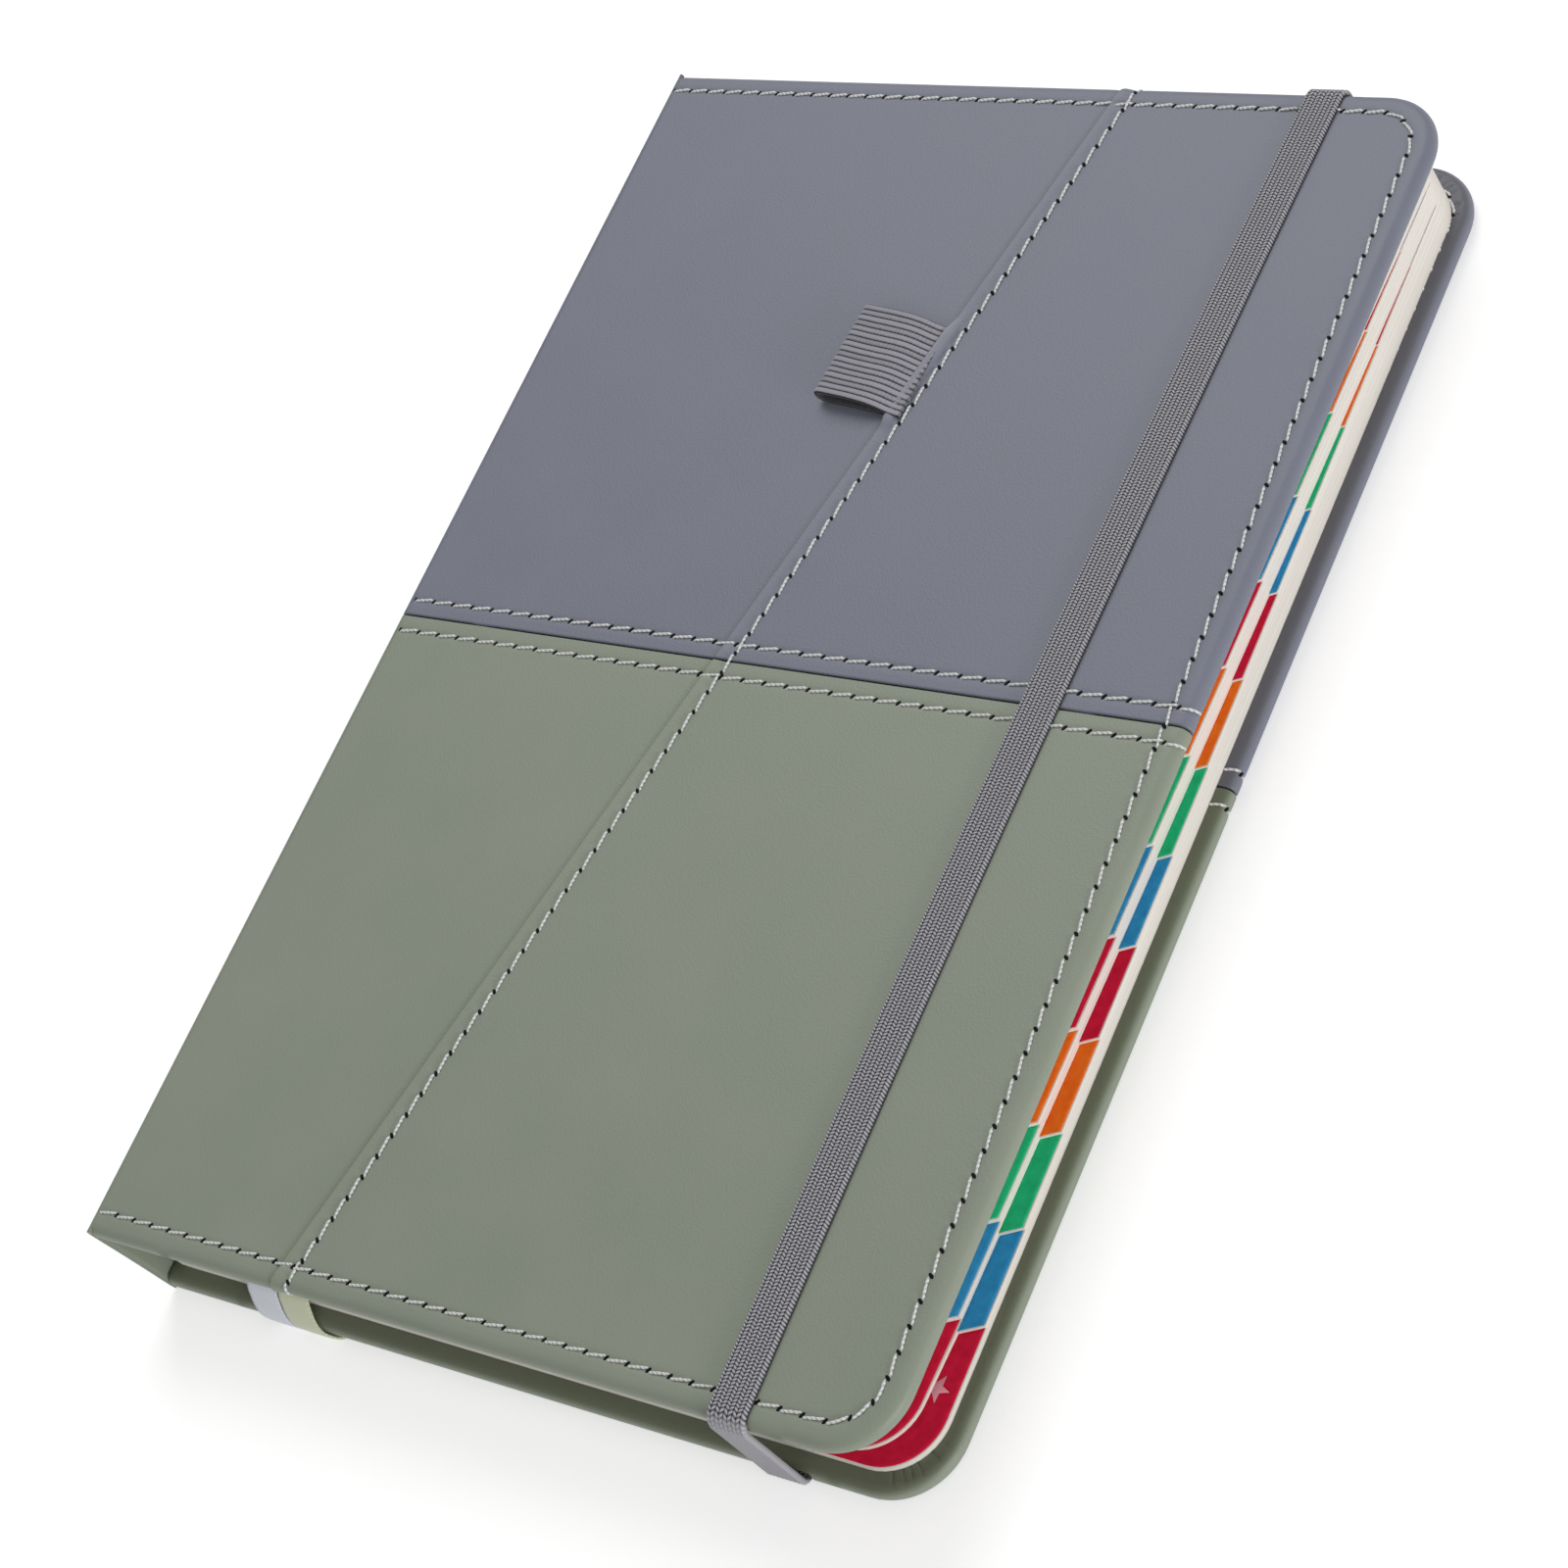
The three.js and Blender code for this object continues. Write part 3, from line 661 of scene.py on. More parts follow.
def leather_relief(cover, x, y, up, inset, side):
    """Height over the plain form: grooves, puckers, rolled seam edges, the lap's
    ridge, the band's bed in the back face, soft unevenness and the pleats of the
    turned-in corners. Also gives where the pleats are."""
    sewn_edge = np.minimum(FORE_X - x, HEAD_Y - np.abs(y))
    in_corner = (x > FORE_X - BORDER) & (np.abs(y) > HEAD_Y - BORDER)
    sewn_edge = np.where(in_corner | (up < 1), inset, sewn_edge)
    by_spine = (up < 1) & (x < cover.spine_x + BORDER) & (np.abs(y) < HEAD_Y - BORDER / 2)
    off = np.where(by_spine, BORDER, sewn_edge - np.where(up < 0, INNER_INSET, STITCH_INSET))
    height = -groove(off) - pucker(x + y, off)
    height += 0.03 * np.exp(-((off + 1.2) / 0.8) ** 2) * (up > 0)
    seam = np.abs(y - SEAM_Y)
    height -= roll(seam - SEAM_GAP / 2)
    height -= groove(seam - SEAM_STITCH) + pucker(x, seam - SEAM_STITCH)
    height += 0.02 * np.exp(-((seam - 1.5) / 0.8) ** 2)
    if side:
        lap = (x - lap_x(np.clip(y, -HEAD_Y, HEAD_Y))) * np.cos(LAP_TILT)
        if side > 0:
            over_loop = 1 - smooth_step(LOOP_WIDTH / 2, LOOP_WIDTH / 2 + 1.5, np.abs(y - LOOP_Y))
            rise = LAP_RISE + LOOP_BULGE * over_loop
            height += rise * (1 - smooth_step(0.4, LAP_SLOPE, lap)) * (up > -1)
            height -= roll(lap) + groove(lap - LAP_STITCH) + pucker(y, lap - LAP_STITCH)
        else:
            height -= 0.12 * np.exp(-(lap / 0.8) ** 2)
    height += UNEVEN * np.sin(x / 13 + 0.7) * np.sin(y / 17 + 0.3)
    if cover.facing < 0:
        centre = band_x(y)
        across = 1 - smooth_step(BAND_WIDTH / 2 + 0.2, BAND_WIDTH / 2 + 0.6, np.abs(x - centre))
        along = smooth_step(HEAD_Y - BAND_BACK_RUN - 0.7, HEAD_Y - BAND_BACK_RUN - 0.2, np.abs(y))
        bed = across * along * (up > -0.5)
        height = height * (1 - bed) - (BAND_THICK + 0.1) * bed
    past_x, past_y = x - (FORE_X - FORE_CORNER), np.abs(y) - (HEAD_Y - FORE_CORNER)
    fan = np.hypot(past_x, past_y)
    angle = np.arctan2(past_y, past_x)
    folds = smooth_step(3.0, 7.0, fan) * (angle > 0) * (angle < np.pi / 2)
    folds = folds * np.sqrt(np.maximum(np.sin(2 * angle), 0))
    crease = np.exp(-(np.sin(15 * angle + 1.1 * np.sin(7 * angle)) / 0.3) ** 2)
    pleats = folds * crease * (up < -0.3) * in_corner * (1 - smooth_step(8.9, 9.6, fan))
    return height - PLEAT_DEPTH * pleats, pleats


def make_panel(name, cover, half, side, material, body, nodes):
    """One leatherette panel: a thin shell over the relief. Its attribute of painted light
    and shade is 0.5 on plain leather, more for painted highlights on rolled edges, less
    for painted shade in grooves, folds and beside the lap."""
    x, y, nx, ny, up, inset = panel_surface(cover, half, side)
    height, pleats = leather_relief(cover, x, y, up, inset, side)
    core_z = cover.middle_z + cover.facing * EDGE_RADIUS * up

    def moved(amount):
        return np.stack([x + nx * amount, y + ny * amount, core_z + cover.facing * up * amount], -1)

    outer = moved(height)
    inner = moved(np.minimum(height, 0) * 0.5 - LEATHER)
    points, quads = shell(outer, inner, cover.facing < 0)
    fall = np.arccos(np.clip(up, -1, 1))
    # painted highlights on the rounded edge: a soft one on the outer arc, a narrow line where it turns to
    # the inner face
    painted_highlight = 0.1 * np.exp(-((fall - 0.9) / 0.4) ** 2) + 0.22 * np.exp(-((fall - 2.3) / 0.2) ** 2)
    # mask of the faces turned in to the pages, which get painted shade
    inside = smooth_step(1.8, 2.5, fall)
    # painted shade where the relief sinks and in the pleats, painted highlight where it rises
    painted_shading = 0.5 + 0.9 * height * (1 - inside) + painted_highlight - 0.45 * pleats
    if side:
        lap = (x - lap_x(np.clip(y, -HEAD_Y, HEAD_Y))) * np.cos(LAP_TILT) * side
        # painted highlight along the lap's raised edge, painted shadow beside it on the panel beneath
        painted_shading += (0.22 if side > 0 else -0.3) * np.exp(-((lap - 0.15) / 0.16) ** 2)
    seam = half * (y - SEAM_Y) - SEAM_GAP / 2
    # painted highlight along each panel's edge at the level seam
    painted_shading += (0.2 if half < 0 else 0.08) * np.exp(-((seam - 0.2) / 0.14) ** 2)
    painted_shading = np.clip(painted_shading, 0.05, 0.95)
    # painted shade on the shell's under side
    painted_shading = np.concatenate([painted_shading.ravel(), np.full(painted_shading.size, 0.3)])
    turned = np.concatenate([inside.ravel(), np.zeros(inside.size)])
    piece = make_object(name, points, quads, {"painted_shading": painted_shading, "turned": turned})
    finish_piece(piece, body, material, nodes)


# Stitches
def border_route(cover, inner, inset):
    """The sewn border's line: head row, fore corner, fore row, corner, tail row."""
    far = FORE_CORNER - inset
    turn = np.linspace(0, np.pi / 2, 13)[1:-1]
    centre_x = FORE_X - FORE_CORNER
    centre_y = HEAD_Y - FORE_CORNER
    start = cover.spine_x + 1.2
    head = [[start, HEAD_Y - inset], [centre_x, HEAD_Y - inset]]
    head += [[centre_x + far * np.sin(t), centre_y + far * np.cos(t)] for t in turn]
    head += [[FORE_X - inset, centre_y]]
    tail = [[px, -py] for px, py in head[::-1]]
    flat = np.array(head + tail)
    side = -1 if inner else 1
    height = cover.middle_z + cover.facing * side * EDGE_RADIUS
    z = np.full((len(flat), 1), height)
    up = np.tile([0, 0, cover.facing * side], (len(flat), 1))
    return np.hstack([flat, z]), up


def over_edge(cover, start, end, ahead, behind, inward):
    """A sewn row across the cover's face and round the edge at its ends. It may go
    on along the inner face for a length."""
    start, end = np.array(start, float), np.array(end, float)
    way = (end - start) / np.linalg.norm(end - start)
    turn = np.linspace(0, np.pi * 0.9, 10)[1:]
    points = [[*start, EDGE_RADIUS], [*end, EDGE_RADIUS]]
    ups = [[0, 0, 1], [0, 0, 1]]
    for t in turn * ahead:
        if t > 0:
            points.append([*(end + way * EDGE_RADIUS * np.sin(t)), EDGE_RADIUS * np.cos(t)])
            ups.append([*(way * np.sin(t)), np.cos(t)])
    if inward > 0:
        points.append([*(end - way * inward), -EDGE_RADIUS])
        ups.append([0, 0, -1])
    for t in turn * behind:
        if t > 0:
            points.insert(0, [*(start - way * EDGE_RADIUS * np.sin(t)), EDGE_RADIUS * np.cos(t)])
            ups.insert(0, [*(-way * np.sin(t)), np.cos(t)])
    points, ups = np.array(points), np.array(ups)
    points[:, 2] = cover.middle_z + cover.facing * points[:, 2]
    ups[:, 2] *= cover.facing
    return points, ups


def sew(template, quads, route, pitch, slant, start):
    """Copies of one small shape laid along a row, each bent with the row under it."""
    points, ups = route
    gone = lengths_along(points)
    count = int(gone[-1] / pitch)
    step = gone[-1] / count
    where = ((np.arange(count) + start) * step)[:, None] + template[None, :, 0]

    def at(values, place):
        return np.stack([np.interp(place, gone, values[:, i]) for i in range(3)], -1)

    base = at(points, where)
    up = unit(at(ups, where))
    way = unit(at(points, where + 0.2) - at(points, where - 0.2))
    side = unit(np.cross(up, way))
    sink = GROOVE_DEPTH + (DOWN_SINK - GROOVE_DEPTH) * smooth_step(0, 0.4, -up[..., 2:])
    across = template[:, 1] + slant * template[:, 0]
    spots = base + side * across[None, :, None] + up * (template[None, :, 2:] - sink)
    faces = quads[None] + (np.arange(count) * len(template))[:, None, None]
    return spots.reshape(-1, 3), faces.reshape(-1, 4)


def thread_shape(length):
    """A stitch: an oval section that twists as it goes and dives at its two ends. Also gives painted
    highlights and shade along its plies.
    """
    along = np.linspace(-1, 1, THREAD_STATIONS)[:, None]
    around = np.linspace(0, 2 * np.pi, THREAD_SIDES, endpoint=False)[None, :]
    twist = THREAD_TWIST * along
    size = np.sqrt(np.maximum(1 - along ** 6, 0.03))
    wide = THREAD_WIDE * np.cos(around + twist)
    thick = THREAD_THICK * np.sin(around + twist)
    y = size * (wide * np.cos(twist) + thick * np.sin(twist))
    z = size * (thick * np.cos(twist) - wide * np.sin(twist)) + 0.12 - 0.3 * along ** 8
    x = along * length / 2 + 0 * y
    # painted highlight on one ply and painted shade on the next
    ply_shading = 0.62 + 0.34 * np.cos(np.pi * np.arange(THREAD_STATIONS)[:, None] + around)
    points, quads = tape(np.stack([x, y, z], -1))
    return points, quads, ply_shading.ravel()


def hole_shape():
    """A needle hole's painted shade: a small slanting oval, narrower and closed above and below."""
    around = np.linspace(0, 2 * np.pi, HOLE_SIDES, endpoint=False)
    ring = np.stack([HOLE_LONG * np.cos(around), HOLE_WIDE * np.sin(around), 0 * around], -1)
    upper = ring * 0.6 + [0, 0, 0.1]
    lower = ring * 0.6 - [0, 0, 0.2]
    points = np.concatenate([lower, ring, upper])
    cosine, sine = np.cos(HOLE_SLANT), np.sin(HOLE_SLANT)
    points[:, :2] = points[:, :2] @ np.array([[cosine, sine], [-sine, cosine]])
    low = np.arange(HOLE_SIDES)
    after = (low + 1) % HOLE_SIDES
    side = np.stack([low, after, after + HOLE_SIDES, low + HOLE_SIDES], -1)
    k = np.arange(HOLE_SIDES // 2 - 1)
    cap = np.stack([k, k + 1, HOLE_SIDES - 2 - k, HOLE_SIDES - 1 - k], -1)
    return points, np.concatenate([side, side + HOLE_SIDES, cap[:, ::-1], cap + 2 * HOLE_SIDES])


def make_stitches(name, rows, body, thread, hole_shading):
    """All the stitches of one cover, and the needle holes between them as dark ovals of painted shade."""
    template, quads, ply_shading = thread_shape(STITCH_LENGTH)
    dimple, dimple_quads = hole_shape()
    points, faces, marks, mark_faces = [], [], [], []
    total = 0
    mark_total = 0
    for route, pitch in rows:
        stitch = template * [pitch / STITCH_PITCH, 1, 1]
        spots, spot_faces = sew(stitch, quads, route, pitch, THREAD_SLANT, 0.5)
        points.append(spots)
        faces.append(spot_faces + total)
        total += len(spots)
        spots, spot_faces = sew(dimple, dimple_quads, route, pitch, 0, 0)
        marks.append(spots)
        mark_faces.append(spot_faces + mark_total)
        mark_total += len(spots)
    # painted shade and highlights of the plies
    weave_shade = np.tile(ply_shading, total // len(ply_shading))
    sewn = make_object(name, np.concatenate(points), np.concatenate(faces), {"weave_shade": weave_shade})
    finish_piece(sewn, body, thread)
    # the needle holes: dark ovals of painted shade
    holes = make_object(name + "_shaded_holes", np.concatenate(marks), np.concatenate(mark_faces))
    finish_piece(holes, body, hole_shading)


# Knitted elastic
def band_route():
    """The band's inner face: back run, bottom corner, side, top corner, and over."""
    side_y = HEAD_Y + BAND_SIDE_GAP
    points = []

    def arc(y, z, radius, start, stop, end):
        for angle in np.radians(np.linspace(start, stop, 7)):
            points.append([end * (y + radius * np.cos(angle)), z + radius * np.sin(angle),
                           end * np.cos(angle), np.sin(angle)])

    low = (side_y - BAND_BOTTOM_CORNER, BAND_THICK + BAND_BOTTOM_CORNER, BAND_BOTTOM_CORNER)
    high = (side_y - BAND_TOP_CORNER, FRONT_HIGH[2] - BAND_TOP_CORNER, BAND_TOP_CORNER)
    points.append([HEAD_Y - BAND_BACK_RUN, BAND_THICK, 0, -1])
    arc(*low, -90, 0, 1)
    arc(*high, 0, 90, 1)
    arc(*high, 90, 0, -1)
    arc(*low, 0, -90, -1)
    points.append([-HEAD_Y + BAND_BACK_RUN, BAND_THICK, 0, -1])
    return np.array(points)


def make_band(material):
    """The closing band: a tape along its route, with ridges along its outer face."""
    route = band_route()
    gone = lengths_along(route[:, :2])
    where = np.linspace(0, gone[-1], int(gone[-1] / BAND_STEP))
    y, z, out_y, out_z = (np.interp(where, gone, route[:, i]) for i in range(4))
    out = unit(np.stack([out_y, out_z], -1))
    across = np.linspace(-1, 1, BAND_RIDGES * 6 + 1)
    columns = (across * 0.5 + 0.5) * BAND_RIDGES
    inside = 2 * (columns - np.floor(columns)) - 1
    ridge = np.sqrt(np.maximum(1 - inside ** 2, 0))[None, :]
    edge = smooth_step(1.0, 0.9, np.abs(across))[None, :]
    top = BAND_THICK - 0.02
    thick = (top - 0.12 * (1 - ridge)) * (0.35 + 0.65 * edge) + 0 * where[:, None]
    x = band_x(y)[:, None] + across[None, :] * BAND_WIDTH / 2
    lower = np.stack([x, y[:, None] + 0 * x, z[:, None] + 0 * x], -1)
    upper = np.stack([x, y[:, None] + out[:, :1] * thick, z[:, None] + out[:, 1:] * thick], -1)
    rings = np.concatenate([lower, upper[:, ::-1]], 1)
    points, quads = tape(rings)
    loops = where[:, None] / KNIT_PITCH + 0 * x
    both = np.concatenate([loops, loops[:, ::-1]], 1)
    place = np.concatenate([columns, columns[::-1]])[None, :] + 0 * both
    plain = smooth_step(0.35, 0.8, np.abs(out[:, :1])) * 0.75 + 0 * both
    uv = np.stack([both, place], -1).reshape(-1, 2)
    piece = make_object("elastic_band_knit", points, quads, {"plain": plain}, uv)
    finish_piece(piece, "back_cover", material, ["elastic_band"])
    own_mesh(piece)


def make_pen_loop(material):
    """A flattened ring of ribbed tape, its two ends held under the lap."""
    radius = LOOP_HEIGHT / 2
    fold = LOOP_REACH - radius
    turn = np.linspace(-np.pi / 2, np.pi / 2, 15)
    section = [[-1.5, 0], [fold * 0.5, 0]]
    section += [[fold + radius * np.cos(t), radius + radius * np.sin(t)] for t in turn]
    section += [[fold * 0.6, LOOP_HEIGHT], [4.6, LOOP_HEIGHT - 0.3], [2.4, 2.1], [0.9, 1.3],
                [-0.4, 0.8], [-1.5, 0.7]]
    route = np.array([[a, 0, b] for a, b in section])
    line, where = resample(route, LOOP_STEP)
    way = np.gradient(line, axis=0)
    out = unit(np.stack([way[:, 2], 0 * where, -way[:, 0]], -1))
    across = np.linspace(-1, 1, LOOP_RIBS * 6 + 1)
    place = (across * 0.5 + 0.5) * LOOP_RIBS
    inside = 2 * (place - np.floor(place)) - 1
    inside[-1] = 1
    rib = np.sqrt(np.clip(1 - inside ** 2, 0, 1))[None, :]
    uneven = 0.86 + 0.14 * np.sin(2.3 * np.floor(place) + 0.7)[None, :]
    cord = 0.9 + 0.1 * np.cos(2 * np.pi * where / 0.55)[:, None]
    height = rib * uneven * cord
    lift = 0.22 * (height - 1)
    sway = 0.12 * np.sin(where / 2.2)[:, None]
    offset = across[None, :] * LOOP_WIDTH / 2 + sway * (1 - across ** 2)[None, :]

    def side_of_tape(amount):
        x, z = (line[:, i:i + 1] + out[:, i:i + 1] * amount for i in (0, 2))
        return np.stack([x, offset, z], -1)

    inner = side_of_tape(-LOOP_INNER + 0 * offset)
    rings = np.concatenate([inner, side_of_tape(lift)[:, ::-1]], 1)
    points, quads = tape(rings)
    tilt = LAP_TILT * LOOP_LEAN_SHARE
    away = np.array([-np.cos(tilt), np.sin(tilt), 0])
    along = np.array([np.sin(tilt), np.cos(tilt), 0])
    spot = np.array([lap_x(LOOP_Y), LOOP_Y, FRONT_HIGH[2] + 0.05])
    points = spot + points @ np.stack([away, along, [0, 0, 1]])
    # painted shade on the tape's inner side and between its ribs, lighter on the ribs' crowns
    weave_shade = np.concatenate([0 * height + 0.25, height[:, ::-1]], 1)
    piece = make_object("pen_loop_tape", points, quads, {"weave_shade": weave_shade})
    finish_piece(piece, "front_cover", material, ["pen_loop"])


# Ribbons
def ribbon_route(tail_x):
    """A ribbon's points: evenly down the block, then round the back cover's edge."""
    run = np.arange(RIBBON_RUNS) / RIBBON_RUNS
    tail_y = RIBBON_TURN[0][1]
    down = tail_y - RIBBON_HEAD_Y
    straight = [[tail_x - RIBBON_SLANT * (1 - s), RIBBON_HEAD_Y + down * s, RIBBON_Z] for s in run]
    return np.array(straight + [[tail_x + x, y, z] for x, y, z in RIBBON_TURN])


def make_ribbon(name, tail_x, material, node_name):
    """A woven tape along its route, with fine cross ribs and looped edges."""
    route = ribbon_route(tail_x)
    line, where = resample(route, RIBBON_STEP)
    way = unit(np.gradient(line, axis=0))
    side = np.tile([1.0, 0, 0], (len(line), 1))
    up = unit(np.cross(way, side))
    across = np.linspace(-1, 1, RIBBON_COLUMNS)
    rib = 0.5 + 0.5 * np.cos(2 * np.pi * where / RIBBON_RIB)[:, None]
    edge = smooth_step(0.84, 0.9, np.abs(across))[None, :]
    height = (1 - edge) * (0.72 + 0.28 * rib) + edge * (0.35 + 0.5 * rib)
    half = RIBBON_THICK / 2
    wide = across[None, :] * RIBBON_WIDTH / 2 * (1 - 0.012 * rib)
    crown = 0.05 * (1 - across ** 2)[None, :]
    bulk = half * (0.7 + 0.3 * height)
    base = line[:, None, :] + side[:, None, :] * wide[..., None]
    under = base + up[:, None, :] * (crown - bulk)[..., None]
    over = base + up[:, None, :] * (crown + bulk)[..., None]
    rings = np.concatenate([under, over[:, ::-1]], 1)
    points, quads = tape(rings)
    # painted shade between the cross ribs and on the lower looped edges, lighter on the ribs
    weave_shade = np.concatenate([height, height[:, ::-1]], 1)
    piece = make_object(name, points, quads, {"weave_shade": weave_shade})
    finish_piece(piece, "text_block", material, [node_name])


# Index strips
def tab_sides(tab):
    """Where a tab begins at its head and ends at its tail."""
    head = HEAD_Y if tab == 0 else FIRST_TAB_Y - tab * TAB_PITCH
    tail = -HEAD_Y if tab == TAB_COUNT - 1 else FIRST_TAB_Y - (tab + 1) * TAB_PITCH
    return head, tail


def strip_edge(tab, cut, border, run_out):
    """One long edge of a strip, along a cut given by its head and tail places and
    its inset at the tail. It is straight along its tab. In the last tab it also
    turns round the block's corner and runs out along the tail."""
    head_x, tail_x, end = cut
    top_y = corners("page_block")[1][1]
    head, tail = tab_sides(tab)
    if tab == 0:
        head = top_y - PAGE_CORNER

    def cut_x(y):
        return head_x + (tail_x - head_x) * ((top_y - y) / (2 * top_y)) ** CUT_BOW

    if tab < TAB_COUNT - 1:
        y = np.linspace(head, tail + STRIP_GAP, 3 * STRIP_STATIONS)
        return np.linspace(cut_x(head), cut_x(tail), 3 * STRIP_STATIONS) - border, y
    centre_x = tail_x - PAGE_CORNER
    centre_y = PAGE_CORNER + end - top_y
    bend = np.linspace(0, np.pi / 2, STRIP_STATIONS)
    share = np.linspace(0, 1, STRIP_STATIONS)
    radius = PAGE_CORNER - border
    x = [np.linspace(cut_x(head), tail_x, STRIP_STATIONS) - border,
         centre_x + radius * np.cos(bend), centre_x - run_out * share]
    low_y = centre_y - radius
    y = [np.linspace(head, centre_y, STRIP_STATIONS), centre_y - radius * np.sin(bend),
         low_y + (border - top_y - low_y) * share]
    return np.concatenate(x), np.concatenate(y)


def make_index_strips(prints):
    """Printed strips on the stepped shelves: thin plates with slanted ends."""
    fore = corners("page_block")[1][0]
    lower_tail = fore - LOWER_CUT
    rim = (fore, fore, 0.0)
    lower = (fore, lower_tail, LOWER_CUT_END)
    upper = (fore, lower_tail - UPPER_CUT, UPPER_CUT_END)
    sections = [(LOWER_SHELF, rim, lower, LOWER_CUT, "lower"),
                (UPPER_SHELF, lower, upper, UPPER_CUT, "upper")]
    across = np.linspace(0, 1, 7)[None, :]
    for shelf, outer_cut, inner_cut, deep, title in sections:
        for tab in range(TAB_COUNT):
            colour = TAB_COLOURS[0] if tab == 0 else TAB_COLOURS[1 + (tab - 1) % 4]
            lean = STEP_SLANT
            if tab == TAB_COUNT - 1:
                lean = STEP_SLANT * np.clip(np.linspace(1, -2, 3 * STRIP_STATIONS), 0, 1)
            in_x, in_y = strip_edge(tab, inner_cut, -0.02, CUT_RUN_OUT)
            out_x, out_y = strip_edge(tab, outer_cut, STRIP_BORDER, CUT_RUN_OUT + deep)
            out_x = np.maximum(out_x, in_x + 0.02)
            out_y = out_y + lean * (out_x - in_x)
            x = in_x[:, None] + (out_x - in_x)[:, None] * across
            y = in_y[:, None] + (out_y - in_y)[:, None] * across
            flat = np.stack([x, y, shelf_z(shelf, tab) + 0 * x], -1)
            points, quads = shell(flat + [0, 0, 0.06], flat + [0, 0, 0.01], flip=True)
            piece = make_object(f"index_{title}_{tab}", points, quads)
            finish_piece(piece, "text_block", prints[colour])


def shelf_z(shelf, tab):
    """The height of a section's shelf in one tab."""
    gone = ((tab + 0.5) / TAB_COUNT) ** SHELF_BOW
    return corners("page_block")[0][2] + shelf[0] + (shelf[1] - shelf[0]) * gone


def make_star(material):
    """A plain five-pointed star printed on the last strip: five kites from its middle."""
    angle = np.linspace(0, 2 * np.pi, 10, endpoint=False) + STAR_TURN
    reach = np.where(np.arange(10) % 2 == 0, STAR_SIZE, STAR_SIZE * STAR_WAIST)
    rim = np.stack([reach * np.cos(angle), reach * np.sin(angle), 0 * angle], -1) + [*STAR_PLACE, 0]
    low = np.vstack([rim, [*STAR_PLACE, 0]])
    low[:, 2] = shelf_z(LOWER_SHELF, TAB_COUNT - 1) + 0.04
    tips = np.arange(0, 10, 2)
    kites = np.stack([np.full(5, 10), (tips - 1) % 10, tips, (tips + 1) % 10], -1)
    ring = np.arange(10)
    after = (ring + 1) % 10
    sides = np.stack([ring, after, after + 11, ring + 11], -1)
    quads = np.concatenate([kites[:, ::-1], kites + 11, sides])
    piece = make_object("index_star", np.vstack([low, low + [0, 0, 0.05]]), quads)
    finish_piece(piece, "text_block", material)


def dress(node_name, material):
    """Gives a node of the frame a better finish."""
    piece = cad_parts[node_name]
    if not piece.data.materials:
        piece.data.materials.append(material)
    for slot in piece.material_slots:
        slot.material = material


def make_spine_skin(name, low_y, high_y, material, nodes):
    """The spine's leatherette: a wall that starts on the front cover's spine edge,
    leans straight down and ends round the back cover's spine edge."""
    reach = EDGE_RADIUS + SPINE_PROUD
    top = np.array([FRONT.spine_x + EDGE_RADIUS, FRONT.middle_z])
    low = np.array([BACK.spine_x + EDGE_RADIUS, BACK.middle_z])
    run = low - top
    side = np.arctan2(run[0], -run[1])
    turn = np.pi + side
    upper = np.linspace(np.pi * 0.62, turn, 12)
    lower = np.linspace(turn, np.pi * 1.32, 12)
    angle = np.concatenate([upper, np.full(18, turn), lower])
    slide = np.concatenate([np.zeros(12), np.linspace(0, 1, 20)[1:-1], np.ones(12)])
    centre = top[None, :] + run[None, :] * slide[:, None]
    out = np.stack([np.cos(angle), np.sin(angle)], -1)
    sag = SPINE_SAG * np.sin(np.pi * slide)[:, None]
    y = np.linspace(low_y, high_y, SPINE_ROWS)

    def wall(offset):
        line = centre + out * (offset - sag)
        x = line[None, :, 0] + 0 * y[:, None]
        z = line[None, :, 1] + 0 * y[:, None]
        return np.stack([x, y[:, None] + 0 * x, z], -1)

    outer = wall(reach)
    points, quads = shell(outer, wall(reach - SPINE_WALL))
    # painted shade on the wall's inner face
    painted_shading = np.concatenate([np.full(outer[..., 0].size, 0.5), np.full(outer[..., 0].size, 0.3)])
    piece = make_object(name, points, quads, {"painted_shading": painted_shading})
    finish_piece(piece, "text_block", material, nodes)


